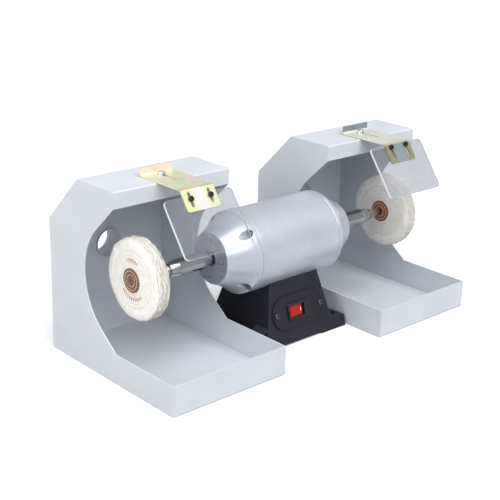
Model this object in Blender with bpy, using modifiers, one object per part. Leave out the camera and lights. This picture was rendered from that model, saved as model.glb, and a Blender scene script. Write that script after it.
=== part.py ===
"""Double-ended bench polishing motor standing between two sheet-metal dust hoods.

Metres, +Z up. X runs along the motor shaft, -Y is the operator's side, and the origin is
on the bench at the centre of the whole set. Left and right are the operator's.
"""
import math

import bmesh
import bpy
from mathutils import Matrix, Vector

# ---------------------------------------------------------------- driving dimensions
GAP = 0.0003
SIDES = {"left": -1, "right": 1}

# Motor, distances along the shaft counted from the motor's middle
AXIS_Y, AXIS_Z = -0.020, 0.127
BODY_RADIUS, BODY_BORE, BODY_HALF = 0.056, 0.046, 0.070
NOSE_RADIUS, NOSE_AT = 0.0345, 0.1133
BAND_END, DOME_START_RADIUS, FLARE = 0.077, 0.0553, 0.75
BELL_CAVITY_RADIUS, SHAFT_HOLE = 0.0425, 0.0105
BOLT_CIRCLE, BOLT_SEAT, BOLT_HOLE, SCALLOP_RADIUS = 0.050, 0.0735, 0.0029, 0.006
BEARING_IN, BEARING_OUT, BEARING_RADIUS, BEARING_BORE = 0.0961, 0.1070, 0.0175, 0.0075
SHAFT_RADIUS, SHAFT_HALF = 0.0072, 0.150
STATOR_HALF, STATOR_TEETH, STATOR_BORE, SLOT_RADIUS = 0.032, 12, 0.030, 0.040
ROTOR_RADIUS = 0.0295

# Base: a tapered box under the motor, its walls leaning in as they rise
BASE_HALF_X, BASE_HALF_Y, BASE_TOP = 0.0636, 0.0614, 0.088
SIDE_TAPER, FACE_TAPER = 0.22, 0.25
BASE_WALL, ARCH_HEIGHT, ARCH_HALF = 0.003, 0.002, 0.036
FOOT_REACH, FOOT_TIP, FOOT_ROOT, FOOT_GAP_HALF = 0.086, 0.0152, 0.030, 0.032
LEAN = math.atan(FACE_TAPER)

# Switch, placed on the leaning front face at this height
SWITCH_Z = 0.043
PANEL_LENGTH, PANEL_WIDTH, PANEL_THICKNESS, PANEL_SCREW_X = 0.094, 0.046, 0.0018, 0.0405
BEZEL, SWITCH_BODY, SWITCH_DEPTH = (0.0414, 0.0240), (0.0386, 0.0214), 0.020
ROCKER_X, ROCKER_HALF, ROCKER_WIDTH, POCKET_HALF = -0.0048, 0.0125, 0.0150, 0.0135
GLAND_X, GLAND_Z = 0.030, 0.024

# Spindle and buff, along the shaft
SLEEVE_START, SLEEVE_END, SLEEVE_RADIUS = 0.125, 0.170, 0.0115
THREAD_START, THREAD_RADIUS, TIP_AT, TIP_RADIUS = 0.186, 0.0088, 0.223, 0.0006
SET_SCREW_AT = 0.137
BUFF_IN, BUFF_OUT, BUFF_RADIUS = 0.217, 0.238, 0.0503
DISC_RADIUS, DISC_THICKNESS = 0.0155, 0.0015

# Dust hood: distances back from its front edge, and heights
HOOD_FRONT_Y, HOOD_IN, HOOD_OUT = -0.142, 0.090, 0.270
HOOD_DEPTH, HOOD_HEIGHT, LIP_HEIGHT, SHEET = 0.254, 0.246, 0.040, 0.0014
BACK_TOP, ROOF_BACK, ROOF_FRONT, ROOF_FLANGE = 0.180, 0.188, 0.1145, 0.021
CHEEK_LIP_BACK, CUT_CENTRE, CUT_RADIUS = 0.1125, (0.092, 0.130), 0.0845
SPIGOT_RADIUS, SPIGOT_WALL, SPIGOT_LENGTH = 0.0200, 0.0012, 0.030

# Guard bracket on the roof, and the clear shield that hangs on its sloping flange
BRACKET_WIDTH, BRACKET_SHEET, BRACKET_BACK, BRACKET_BEND = 0.050, 0.002, 0.150, 0.071
BRACKET_LIP, FLANGE_LENGTH, FLANGE_TILT = 0.0095, 0.0295, math.radians(36)
BRACKET_SCREW_BACK, BRACKET_SLOT = 0.138, (0.1045, 0.1415)
FLANGE_SLOT, SLOT_X, SLOT_WIDTH = (0.0043, 0.0245), 0.015, 0.0044
SHIELD_WIDTH, SHIELD_HEIGHT, SHIELD_SHEET, SHIELD_CORNER = 0.104, 0.075, 0.003, 0.006
SHIELD_HOLE_DROP = 0.005
SHIELD_SCREW_AT = {"left": 0.014, "right": 0.0065}

# Sides of a round piece
FINE, MEDIUM, COARSE = 40, 24, 10

# Rotations that lay a flat outline or a turned piece where it belongs
FACING_X = (math.pi / 2, 0, math.pi / 2)
FACING_Y = (math.pi / 2, 0, 0)
TO_BACK = (-math.pi / 2, 0, 0)

MATERIALS = {
    "cast_body": ((0.70, 0.71, 0.73), 0.38, 0.85),
    "machined": ((0.42, 0.43, 0.45), 0.30, 1.0),
    "steel": ((0.62, 0.62, 0.64), 0.22, 1.0),
    "lamination": ((0.30, 0.30, 0.32), 0.50, 0.9),
    "copper": ((0.60, 0.28, 0.12), 0.35, 1.0),
    "black_screw": ((0.03, 0.03, 0.03), 0.40, 0.6),
    "base_black": ((0.035, 0.036, 0.042), 0.55, 0.0),
    "switch_black": ((0.015, 0.015, 0.018), 0.30, 0.0),
    "rocker_red": ((0.65, 0.03, 0.02), 0.30, 0.0),
    "can": ((0.75, 0.75, 0.73), 0.35, 0.4),
    "hood_paint": ((0.66, 0.69, 0.74), 0.50, 0.0),
    "yellow_zinc": ((0.72, 0.62, 0.36), 0.28, 0.9),
    "acrylic": ((0.90, 0.93, 0.95), 0.05, 0.0),
    "cotton": ((0.84, 0.81, 0.76), 0.95, 0.0),
    "leather": ((0.28, 0.11, 0.06), 0.65, 0.0),
}


# ---------------------------------------------------------------- scene helpers
def clear_scene():
    for old in list(bpy.data.objects):
        bpy.data.objects.remove(old, do_unlink=True)


def new_collection(name):
    collection = bpy.data.collections.new(name)
    bpy.context.scene.collection.children.link(collection)
    return collection


def make_material(name):
    colour, roughness, metallic = MATERIALS[name]
    material = bpy.data.materials.get(name)
    if material is None:
        material = bpy.data.materials.new(name)
        material.use_nodes = True
        shader = material.node_tree.nodes["Principled BSDF"]
        shader.inputs["Base Color"].default_value = (*colour, 1)
        shader.inputs["Roughness"].default_value = roughness
        shader.inputs["Metallic"].default_value = metallic
    return material


def place(name, data, look, location=(0, 0, 0), rotation=(0, 0, 0)):
    """Make a named object. A piece with no look is a cutter."""
    piece = bpy.data.objects.new(name, data)
    piece.location = location
    piece.rotation_euler = rotation
    if look is None:
        piece.display_type = "WIRE"
        piece.hide_render = True
        cutters.objects.link(piece)
    else:
        parts.objects.link(piece)
        data.materials.clear()
        data.materials.append(make_material(look))
    return piece


def cut(piece, *tools):
    for tool in tools:
        modifier = piece.modifiers.new("Cut " + tool.name, "BOOLEAN")
        modifier.operation = "DIFFERENCE"
        modifier.solver = "EXACT"
        modifier.object = tool


def join_on(piece, tool):
    modifier = piece.modifiers.new("Join " + tool.name, "BOOLEAN")
    modifier.operation = "UNION"
    modifier.solver = "EXACT"
    modifier.object = tool


def smooth(mesh, angle=35):
    mesh.shade_smooth()
    mesh.set_sharp_from_angle(angle=math.radians(angle))


# ---------------------------------------------------------------- shape helpers
def turned(name, profile, look, location, rotation, sides=FINE, closed=False):
    """Turn (height, radius) points, listed down the outer side, about the local Z axis."""
    mesh = bpy.data.meshes.new(name)
    shape = bmesh.new()
    verts = [shape.verts.new((radius, 0, height)) for height, radius in profile]
    for first, second in zip(verts, verts[1:]):
        shape.edges.new((first, second))
    if closed:
        shape.edges.new((verts[-1], verts[0]))
    shape.to_mesh(mesh)
    shape.free()
    piece = place(name, mesh, look, location, rotation)
    screw = piece.modifiers.new("Turn", "SCREW")
    screw.steps = sides
    screw.render_steps = sides
    screw.use_merge_vertices = True
    screw.merge_threshold = 0.00001
    screw.use_smooth_shade = True
    return piece


def slab(name, outlines, thickness, look, location, rotation):
    """Flat outlines in local XY, the later ones holes, thickened evenly along local Z."""
    curve = bpy.data.curves.new(name, "CURVE")
    curve.dimensions = "2D"
    curve.fill_mode = "BOTH"
    curve.extrude = thickness / 2
    for outline in outlines:
        spline = curve.splines.new("POLY")
        spline.points.add(len(outline) - 1)
        for point, (x, y) in zip(spline.points, outline):
            point.co = (x, y, 0, 1)
        spline.use_cyclic_u = True
    return as_mesh(place(name, curve, look, location, rotation), look)


def as_mesh(curve_piece, look):
    """Swap a curve object for a welded mesh object of the same name and place."""
    bpy.context.view_layer.update()
    depsgraph = bpy.context.evaluated_depsgraph_get()
    mesh = bpy.data.meshes.new_from_object(curve_piece.evaluated_get(depsgraph))
    shape = bmesh.new()
    shape.from_mesh(mesh)
    bmesh.ops.remove_doubles(shape, verts=shape.verts, dist=0.00001)
    bmesh.ops.recalc_face_normals(shape, faces=shape.faces)
    shape.to_mesh(mesh)
    shape.free()
    name, matrix, curve = curve_piece.name, curve_piece.matrix_world.copy(), curve_piece.data
    bpy.data.objects.remove(curve_piece, do_unlink=True)
    bpy.data.curves.remove(curve)
    piece = place(name, mesh, look)
    piece.matrix_world = matrix
    return piece


def box(name, size, location, rotation=(0, 0, 0), look=None):
    mesh = bpy.data.meshes.new(name)
    shape = bmesh.new()
    bmesh.ops.create_cube(shape, size=1, matrix=Matrix.Diagonal((*size, 1)))
    shape.to_mesh(mesh)
    shape.free()
    return place(name, mesh, look, location, rotation)


def rods(name, radius, start, end, centres, location, rotation, sides=COARSE):
    """One cutter of parallel round rods along local Z, between two heights."""
    mesh = bpy.data.meshes.new(name)
    shape = bmesh.new()
    for x, y in centres:
        middle = Matrix.Translation((x, y, (start + end) / 2))
        bmesh.ops.create_cone(shape, cap_ends=True, segments=sides, radius1=radius,
                              radius2=radius, depth=end - start, matrix=middle)
    shape.to_mesh(mesh)
    shape.free()
    return place(name, mesh, None, location, rotation)


def arc(centre, radius, start, end, steps):
    """Points on an arc, angles in degrees."""
    angles = [math.radians(start + (end - start) * i / steps) for i in range(steps + 1)]
    return [(centre[0] + radius * math.cos(a), centre[1] + radius * math.sin(a)) for a in angles]


def circle(radius, sides, centre=(0, 0)):
    return arc(centre, radius, 0, 360, sides)[:-1]


def stadium(length, width, steps=8, centre=(0, 0)):
    reach, radius = (length - width) / 2, width / 2
    return (arc((centre[0] + reach, centre[1]), radius, -90, 90, steps)
            + arc((centre[0] - reach, centre[1]), radius, 90, 270, steps))


def rounded_rectangle(width, height, radius, steps=5):
    x, y = width / 2 - radius, height / 2 - radius
    corners = [((x, y), 0), ((-x, y), 90), ((-x, -y), 180), ((x, -y), 270)]
    return [p for corner, turn in corners for p in arc(corner, radius, turn, turn + 90, steps)]


def strip(path, thickness):
    """Outline of a folded sheet: a path along one face, offset to its left by the thickness."""
    points = [Vector(p) for p in path]
    sides = []
    for start, end in zip(points, points[1:]):
        along = (end - start).normalized()
        sides.append(Vector((-along.y, along.x)))
    offset = [points[0] + sides[0] * thickness]
    for point, before, after in zip(points[1:-1], sides, sides[1:]):
        mitre = (before + after).normalized()
        offset.append(point + mitre * (thickness / mitre.dot(before)))
    offset.append(points[-1] + sides[-1] * thickness)
    return [tuple(p) for p in points] + [tuple(p) for p in reversed(offset)]


def along_shaft(side):
    """Location and rotation that turn local +Z out along the shaft on one side."""
    return (0, AXIS_Y, AXIS_Z), (0, SIDES[side] * math.pi / 2, 0)


# ---------------------------------------------------------------- motor
def bolt_centres():
    return [(BOLT_CIRCLE * math.cos(a), BOLT_CIRCLE * math.sin(a))
            for a in (math.radians(45 + 90 * k) for k in range(4))]


def dome_points(steps=6):
    """The bell's flare, from its machined nose down to its rim band."""
    points = []
    for i in range(steps + 1):
        t = 1 - i / steps
        drop = (DOME_START_RADIUS - NOSE_RADIUS) * t ** FLARE
        points.append((BAND_END + 0.0005 + (NOSE_AT - 0.0009 - BAND_END) * t,
                       DOME_START_RADIUS - drop))
    return points


def bell_profile(pocket_floor):
    outside = [(NOSE_AT, SHAFT_HOLE), (NOSE_AT, NOSE_RADIUS - 0.0004), *dome_points(),
               (BAND_END, BODY_RADIUS), (BODY_HALF + GAP + 0.0005, BODY_RADIUS),
               (BODY_HALF + GAP, BODY_RADIUS - 0.0005)]
    inside = [(BODY_HALF + GAP, BELL_CAVITY_RADIUS), (0.084, 0.0405), (0.092, 0.0350),
              (0.0955, 0.029), (0.0955, BEARING_RADIUS + GAP),
              (pocket_floor, BEARING_RADIUS + GAP), (pocket_floor, SHAFT_HOLE)]
    return outside + inside


def motor_castings():
    location, rotation = along_shaft("right")
    profile = [(BODY_HALF, BODY_RADIUS - 0.001), (BODY_HALF - 0.001, BODY_RADIUS),
               (0.001 - BODY_HALF, BODY_RADIUS), (-BODY_HALF, BODY_RADIUS - 0.001),
               (-BODY_HALF, BODY_BORE), (BODY_HALF, BODY_BORE)]
    body = turned("motor_body", profile, "cast_body", location, rotation, closed=True)
    pocket_floor = {"left": BEARING_OUT + GAP, "right": BEARING_OUT + 0.0016}
    for side in SIDES:
        location, rotation = along_shaft(side)
        bell = turned(side + "_end_bell", bell_profile(pocket_floor[side]), "cast_body",
                      location, rotation, closed=True)
        holes = rods(side + "_bolt_holes", BOLT_HOLE, 0.056, BOLT_SEAT + 0.001,
                     bolt_centres(), location, rotation)
        scallops = rods(side + "_scallops", SCALLOP_RADIUS, BOLT_SEAT, 0.1,
                        bolt_centres(), location, rotation)
        cut(body, holes)
        cut(bell, scallops, holes)
        bell_screws(side)


def bell_screws(side):
    head, socket = BOLT_SEAT + GAP + 0.005, 0.0022
    profile = [(head - 0.003, 0), (head - 0.003, socket), (head, socket), (head, 0.0038),
               (head - 0.0004, 0.0042), (BOLT_SEAT + GAP, 0.0042), (BOLT_SEAT + GAP, 0.0025),
               (0.0575, 0.0025), (0.0575, 0)]
    (x0, y0, z0), rotation = along_shaft(side)
    for number, (y, z) in enumerate(bolt_centres(), 1):
        turned(f"{side}_bell_screw_{number}", profile, "black_screw",
               (x0, y0 + y, z0 + z), rotation, sides=COARSE)


def stator_and_windings():
    location, rotation = along_shaft("right")
    bore = []
    pitch = 360 / STATOR_TEETH
    for tooth in range(STATOR_TEETH):
        start = tooth * pitch
        bore += arc((0, 0), STATOR_BORE, start, start + pitch * 0.7, 3)
        bore += arc((0, 0), SLOT_RADIUS, start + pitch * 0.7, start + pitch, 1)
    outlines = [circle(BODY_BORE - GAP, FINE), bore]
    slab("stator_core", outlines, 2 * STATOR_HALF, "lamination", location, rotation)
    low, high = STATOR_HALF + GAP, 0.052
    profile = [(high, 0.034), (high, 0.040), (high - 0.003, 0.0425), (low, 0.0425),
               (low, 0.0325), (high - 0.003, 0.0325)]
    for side in SIDES:
        location, rotation = along_shaft(side)
        turned(side + "_winding", profile, "copper", location, rotation, closed=True)


def rotor_and_shaft():
    location, rotation = along_shaft("right")
    half = STATOR_HALF + 0.001
    profile = [(half, 0.0285), (half - 0.001, ROTOR_RADIUS), (0.001 - half, ROTOR_RADIUS),
               (-half, 0.0285), (-half, 0.0083), (half, 0.0083)]
    turned("rotor_core", profile, "lamination", location, rotation, closed=True)
    shoulder = BEARING_IN - 0.0006
    upper = [(SHAFT_HALF, 0), (SHAFT_HALF, 0.0065), (SHAFT_HALF - 0.0007, SHAFT_RADIUS),
             (shoulder, SHAFT_RADIUS), (shoulder, 0.0092), (0.090, 0.0092), (0.090, 0.0080)]
    lower = [(-height, radius) for height, radius in reversed(upper)]
    turned("motor_shaft", upper + lower, "steel", location, rotation, sides=MEDIUM)


def bearings():
    shield, race, lip = 0.0108, 0.0135, 0.0008
    outer = [(BEARING_OUT, shield), (BEARING_OUT, BEARING_RADIUS), (BEARING_IN, BEARING_RADIUS),
             (BEARING_IN, shield), (BEARING_IN + lip, shield), (BEARING_IN + lip, race),
             (BEARING_OUT - lip, race), (BEARING_OUT - lip, shield)]
    inner = [(BEARING_OUT, BEARING_BORE), (BEARING_OUT, 0.0104),
             (BEARING_IN, 0.0104), (BEARING_IN, BEARING_BORE)]
    for side in SIDES:
        location, rotation = along_shaft(side)
        turned(side + "_bearing_outer", outer, "steel", location, rotation, MEDIUM, True)
        turned(side + "_bearing_inner", inner, "steel", location, rotation, MEDIUM, True)
    location, rotation = along_shaft("right")
    start = BEARING_OUT + GAP
    washer = [(start + 0.001, 0.0130), (start + 0.001, 0.0172), (start, 0.0172), (start, 0.0130)]
    turned("wave_washer", washer, "steel", location, rotation, MEDIUM, True)


# ---------------------------------------------------------------- base and switch
def face_frame(sign, height):
    """Location and rotation on the front (-1) or back (+1) face, local +Z pointing out."""
    y = AXIS_Y + sign * (BASE_HALF_Y - FACE_TAPER * height)
    return Vector((0, y, height)), (-sign * (math.pi / 2 - LEAN), 0, 0)


def on_face(sign, height, x=0.0, up=0.0, out=0.0):
    """A point given across, up and out from the face's reference point."""
    origin, rotation = face_frame(sign, height)
    upward = Vector((0, -sign * math.sin(LEAN), math.cos(LEAN)))
    outward = Vector((0, sign * math.cos(LEAN), math.sin(LEAN)))
    return origin + Vector((x, 0, 0)) + upward * up + outward * out, rotation


def half_x(height):
    return BASE_HALF_X - SIDE_TAPER * height


def half_y(height):
    return BASE_HALF_Y - FACE_TAPER * height


def base_outline():
    right = [(ARCH_HALF, ARCH_HEIGHT), (ARCH_HALF + 0.003, 0), (FOOT_REACH, 0),
             (FOOT_REACH, FOOT_TIP), (half_x(FOOT_ROOT), FOOT_ROOT), (half_x(BASE_TOP), BASE_TOP)]
    return right + [(-x, z) for x, z in reversed(right)]


def tapered_cavity():
    """The hollow under the saddle: a tapered box cut by the saddle's under side."""
    low, high = -0.001, BASE_TOP
    cavity = box("base_cavity", (2, 2, 1), (0, AXIS_Y, 0))
    inset = BASE_WALL
    for vertex in cavity.data.vertices:
        height = high if vertex.co.z > 0 else low
        vertex.co.x = math.copysign(half_x(height) - inset, vertex.co.x)
        vertex.co.y = math.copysign(half_y(height) - inset, vertex.co.y)
        vertex.co.z = height
    under_saddle = rods("saddle_underside", BODY_RADIUS + GAP + BASE_WALL, -0.1, 0.1,
                        [(0, 0)], *along_shaft("right"), sides=FINE)
    cut(cavity, under_saddle)
    return cavity


def base_cutters():
    reach = 0.2
    tools = []
    for sign in (-1, 1):
        spot, rotation = on_face(sign, 0.0, out=reach / 2)
        tools.append(box(f"lean_{sign}", (reach, reach * 2, reach), spot, rotation))
        low, high = -0.001, FOOT_ROOT + 0.001
        wedge = [(sign * (half_x(low) + GAP), low), (sign * (half_x(high) + GAP), high),
                 (sign * 0.095, high), (sign * 0.095, low)]
        tools.append(slab(f"foot_gap_{sign}", [wedge], 2 * FOOT_GAP_HALF, None,
                          (0, AXIS_Y, 0), FACING_Y))
        for end in (-1, 1):
            recess = [(sign * 0.0575, 0.0275), (sign * 0.0715, 0.0215), (sign * 0.0625, 0.0180)]
            tools.append(slab(f"foot_recess_{sign}_{end}", [recess], 0.020, None,
                              (0, AXIS_Y + end * 0.0626, 0), FACING_Y))
    tools.append(rods("saddle", BODY_RADIUS + GAP, -0.1, 0.1, [(0, 0)],
                      *along_shaft("right"), sides=FINE))
    tools.append(tapered_cavity())
    spot, rotation = on_face(-1, SWITCH_Z)
    opening = (SWITCH_BODY[0] + 0.001, SWITCH_BODY[1] + 0.001, 0.012)
    tools.append(box("switch_opening", opening, spot, rotation))
    tools.append(rods("panel_screw_holes", 0.0020, -0.006, 0.003,
                      [(-PANEL_SCREW_X, 0), (PANEL_SCREW_X, 0)], spot, rotation))
    spot, rotation = on_face(1, GLAND_Z, x=GLAND_X)
    tools.append(rods("gland_hole", 0.0053, -0.008, 0.004, [(0, 0)], spot, rotation))
    return tools


def base():
    housing = slab("base_housing", [base_outline()], 2 * BASE_HALF_Y + 0.01, "base_black",
                   (0, AXIS_Y, 0), FACING_Y)
    cut(housing, *base_cutters())
    low, thick = ARCH_HEIGHT + GAP, 0.002
    inset = BASE_WALL + 2 * GAP
    size = (2 * (half_x(low + thick) - inset), 2 * (half_y(low + thick) - inset), thick)
    box("base_bottom_plate", size, (0, AXIS_Y, low + thick / 2), look="base_black")
    capacitor = [(0.035, 0), (0.035, 0.0135), (0.0335, 0.015), (-0.0335, 0.015),
                 (-0.035, 0.0135), (-0.035, 0)]
    turned("run_capacitor", capacitor, "can", (0, AXIS_Y + 0.018, 0.0245),
           (0, math.pi / 2, 0), sides=MEDIUM)


def switch():
    outlines = [stadium(PANEL_LENGTH, PANEL_WIDTH, 12),
                rounded_rectangle(SWITCH_BODY[0] + 0.0006, SWITCH_BODY[1] + 0.0006, 0.001, 2)]
    outlines += [circle(0.0020, COARSE, (x, 0)) for x in (-PANEL_SCREW_X, PANEL_SCREW_X)]
    spot, rotation = on_face(-1, SWITCH_Z, out=GAP + PANEL_THICKNESS / 2)
    slab("switch_panel", outlines, PANEL_THICKNESS, "base_black", spot, rotation)
    top = 2 * GAP + PANEL_THICKNESS
    profile = [(top + 0.0006, 0), (top + 0.0006, 0.0015), (top + 0.0018, 0.0015),
               (top + 0.0018, 0.0026), (top + 0.001, 0.0035), (top, 0.0036), (top, 0.0017),
               (-0.005, 0.0017), (-0.005, 0)]
    for side, sign in SIDES.items():
        spot, rotation = on_face(-1, SWITCH_Z, x=sign * PANEL_SCREW_X)
        turned(side + "_panel_screw", profile, "black_screw", spot, rotation, sides=COARSE)
    switch_body(top)
    rocker()


def switch_body(bezel_back):
    bezel_thickness = 0.002
    spot, rotation = on_face(-1, SWITCH_Z, out=bezel_back + bezel_thickness / 2)
    body = slab("switch_body", [rounded_rectangle(*BEZEL, 0.002, 3)], bezel_thickness,
                "switch_black", spot, rotation)
    front = bezel_back + bezel_thickness / 2
    spot, rotation = on_face(-1, SWITCH_Z, out=(front - SWITCH_DEPTH) / 2)
    join_on(body, box("switch_shank", (*SWITCH_BODY, front + SWITCH_DEPTH), spot, rotation))
    spot, rotation = on_face(-1, SWITCH_Z, x=ROCKER_X)
    cut(body, box("rocker_pocket", (2 * POCKET_HALF, ROCKER_WIDTH + 0.001, 0.018), spot, rotation))


def rocker():
    """The rocker's side outline, its left end raised, thickened across the switch."""
    high, low, tail = 0.0046, 0.0012, 0.010
    outline = [(-ROCKER_HALF + 0.0002, high), (-0.0005, 0.0024), (ROCKER_HALF - 0.0002, low),
               (ROCKER_HALF - 0.0002, -0.001), (tail, -0.004), (-tail, -0.004),
               (-ROCKER_HALF + 0.0002, -0.001)]
    spot, (tilt, _, _) = on_face(-1, SWITCH_Z, x=ROCKER_X)
    turn = Matrix.Rotation(tilt, 4, "X") @ Matrix.Rotation(math.pi / 2, 4, "X")
    piece = slab("switch_rocker", [outline], ROCKER_WIDTH, "rocker_red", spot, turn.to_euler())
    smooth(piece.data, 20)


def cord_gland():
    spot, rotation = on_face(1, GLAND_Z, x=GLAND_X)
    profile = [(0.009, 0.0036), (0.009, 0.0060), (0.008, 0.0072), (0.0035, 0.0085),
               (GAP, 0.0085), (GAP, 0.0050), (-0.008, 0.0050), (-0.008, 0.0036)]
    turned("cord_gland", profile, "switch_black", spot, rotation, sides=MEDIUM, closed=True)


# ---------------------------------------------------------------- spindles and buffs
def spindle_profile():
    tip = [(TIP_AT, 0), (TIP_AT, TIP_RADIUS), (THREAD_START, THREAD_RADIUS)]
    groove = [(THREAD_START - 0.0004, 0.0080), (THREAD_START - 0.0020, 0.0080),
              (THREAD_START - 0.0024, 0.0096)]
    shoulder = [(SLEEVE_END + 0.007, 0.0107), (SLEEVE_END + 0.0004, 0.0112),
                (SLEEVE_END, SLEEVE_RADIUS), (SLEEVE_START + 0.0008, SLEEVE_RADIUS),
                (SLEEVE_START, SLEEVE_RADIUS - 0.0008)]
    socket_radius, socket_end = SHAFT_RADIUS + 0.0004, SHAFT_HALF + 0.0006
    socket = [(SLEEVE_START, socket_radius), (socket_end, socket_radius), (socket_end, 0)]
    return tip + groove + shoulder + socket


def spindles():
    socket_radius = SHAFT_RADIUS + 0.0004
    for side, sign in SIDES.items():
        spindle = turned(side + "_spindle", spindle_profile(), "steel", *along_shaft(side))
        spot = (sign * SET_SCREW_AT, AXIS_Y, AXIS_Z)
        cut(spindle, rods(side + "_set_screw_hole", 0.0025, 0.004, 0.015, [(0, 0)], spot, TO_BACK))
        bottom, top, socket = socket_radius + 0.0002, SLEEVE_RADIUS - 0.0003, 0.0012
        profile = [(top - 0.0014, 0), (top - 0.0014, socket), (top, socket), (top, 0.0021),
                   (bottom, 0.0021), (bottom, 0)]
        turned(side + "_set_screw", profile, "black_screw", spot, TO_BACK, sides=COARSE)


def buffs():
    rim = 0.0018
    profile = [(BUFF_OUT, 0), (BUFF_OUT, BUFF_RADIUS - 3 * rim),
               (BUFF_OUT - rim, BUFF_RADIUS - rim), (BUFF_OUT - 3 * rim, BUFF_RADIUS),
               (BUFF_IN + 3 * rim, BUFF_RADIUS), (BUFF_IN + rim, BUFF_RADIUS - rim),
               (BUFF_IN, BUFF_RADIUS - 3 * rim), (BUFF_IN, 0.0030), (TIP_AT + 0.0015, 0.0013),
               (TIP_AT + 0.0015, 0)]
    discs = {"inner": (BUFF_IN - GAP - DISC_THICKNESS, 0.0036),
             "outer": (BUFF_OUT + GAP, 0.0012)}
    for side in SIDES:
        turned(side + "_buff", profile, "cotton", *along_shaft(side))
        for face, (low, bore) in discs.items():
            high = low + DISC_THICKNESS
            ring = [(high, bore), (high, DISC_RADIUS), (low, DISC_RADIUS), (low, bore)]
            turned(f"{side}_buff_{face}_disc", ring, "leather", *along_shaft(side),
                   sides=MEDIUM, closed=True)


# ---------------------------------------------------------------- dust hoods
def cheek_outline():
    """A cheek's outline, back from the front edge and up, with its C-shaped mouth."""
    corner = (ROOF_FRONT, HOOD_HEIGHT - ROOF_FLANGE)
    mouth = arc(CUT_CENTRE, CUT_RADIUS, 43, -55, 14)
    return [(0, 0), (HOOD_DEPTH, 0), (HOOD_DEPTH, BACK_TOP), (ROOF_BACK, HOOD_HEIGHT),
            (ROOF_FRONT, HOOD_HEIGHT), corner, *mouth, (CHEEK_LIP_BACK, LIP_HEIGHT),
            (0, LIP_HEIGHT)]


def hood_path():
    return [(0, LIP_HEIGHT), (0, 0), (HOOD_DEPTH, 0), (HOOD_DEPTH, BACK_TOP),
            (ROOF_BACK, HOOD_HEIGHT), (ROOF_FRONT, HOOD_HEIGHT),
            (ROOF_FRONT, HOOD_HEIGHT - ROOF_FLANGE)]


def hood(side):
    sign = SIDES[side]
    middle = sign * (HOOD_IN + HOOD_OUT) / 2
    for face, reach in (("inner", HOOD_IN + SHEET / 2), ("outer", HOOD_OUT - SHEET / 2)):
        slab(f"{side}_hood_{face}_cheek", [cheek_outline()], SHEET, "hood_paint",
             (sign * reach, HOOD_FRONT_Y, 0), FACING_X)
    width = HOOD_OUT - HOOD_IN - 2 * (SHEET + GAP)
    wrapper = slab(side + "_hood_wrapper", [strip(hood_path(), SHEET)], width, "hood_paint",
                   (middle, HOOD_FRONT_Y, 0), FACING_X)
    back = HOOD_FRONT_Y + HOOD_DEPTH
    port = rods(side + "_port", SPIGOT_RADIUS + GAP, -0.01, 0.01, [(0, 0)],
                (middle, back, AXIS_Z), TO_BACK, sides=MEDIUM)
    screw_hole = rods(side + "_roof_hole", 0.0024, -0.005, 0.005, [(0, 0)],
                      (middle, HOOD_FRONT_Y + BRACKET_SCREW_BACK, HOOD_HEIGHT), (0, 0, 0))
    cut(wrapper, port, screw_hole)
    high, low = SPIGOT_LENGTH, -0.0035
    tube = [(high, SPIGOT_RADIUS - SPIGOT_WALL), (high, SPIGOT_RADIUS), (low, SPIGOT_RADIUS),
            (low, SPIGOT_RADIUS - SPIGOT_WALL)]
    turned(side + "_hood_spigot", tube, "hood_paint", (middle, back, AXIS_Z), TO_BACK,
           sides=MEDIUM, closed=True)
    bracket(side, middle)
    shield(side, middle)


# ---------------------------------------------------------------- guard brackets and shields
BRACKET_TOP = HOOD_HEIGHT + GAP + BRACKET_SHEET
DOWN_FLANGE = Vector((0, -math.sin(FLANGE_TILT), -math.cos(FLANGE_TILT)))
OUT_OF_FLANGE = Vector((0, -math.cos(FLANGE_TILT), math.sin(FLANGE_TILT)))
FLANGE_ROTATION = (math.pi / 2 - FLANGE_TILT, 0, 0)


def on_flange(x, down, out):
    """A point measured across, down and out from the middle of the bracket's front bend."""
    bend = Vector((x, HOOD_FRONT_Y + BRACKET_BEND, BRACKET_TOP))
    return bend + DOWN_FLANGE * down + OUT_OF_FLANGE * out


def bracket(side, middle):
    flange_end = (BRACKET_BEND - FLANGE_LENGTH * math.sin(FLANGE_TILT),
                  BRACKET_TOP - FLANGE_LENGTH * math.cos(FLANGE_TILT))
    path = [flange_end, (BRACKET_BEND, BRACKET_TOP), (BRACKET_BACK - BRACKET_SHEET, BRACKET_TOP),
            (BRACKET_BACK - BRACKET_SHEET, BRACKET_TOP + BRACKET_LIP)]
    folded = strip(path[::-1], BRACKET_SHEET)
    plate = slab(side + "_bracket", [folded], BRACKET_WIDTH, "yellow_zinc",
                 (middle, HOOD_FRONT_Y, 0), FACING_X)
    start, end = BRACKET_SLOT
    slot = slab(side + "_bracket_slot", [stadium(end - start, 0.0054)], 0.01, None,
                (middle, HOOD_FRONT_Y + (start + end) / 2, BRACKET_TOP), (0, 0, math.pi / 2))
    cut(plate, slot)
    start, end = FLANGE_SLOT
    for number, sign in enumerate((-1, 1), 1):
        upright = [(y, x) for x, y in reversed(stadium(end - start, SLOT_WIDTH))]
        cut(plate, slab(f"{side}_flange_slot_{number}", [upright], 0.01, None,
                        on_flange(middle + sign * SLOT_X, (start + end) / 2, 0), FLANGE_ROTATION))
    head = BRACKET_TOP + GAP
    profile = [(0.0016, 0), (0.0016, 0.0020), (0.0034, 0.0020), (0.0034, 0.0044), (0.0026, 0.0050),
               (0, 0.0050), (0, 0.0021), (-0.012, 0.0021), (-0.012, 0)]
    turned(side + "_bracket_screw", profile, "steel",
           (middle, HOOD_FRONT_Y + BRACKET_SCREW_BACK, head), (0, 0, 0), sides=COARSE)


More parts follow.
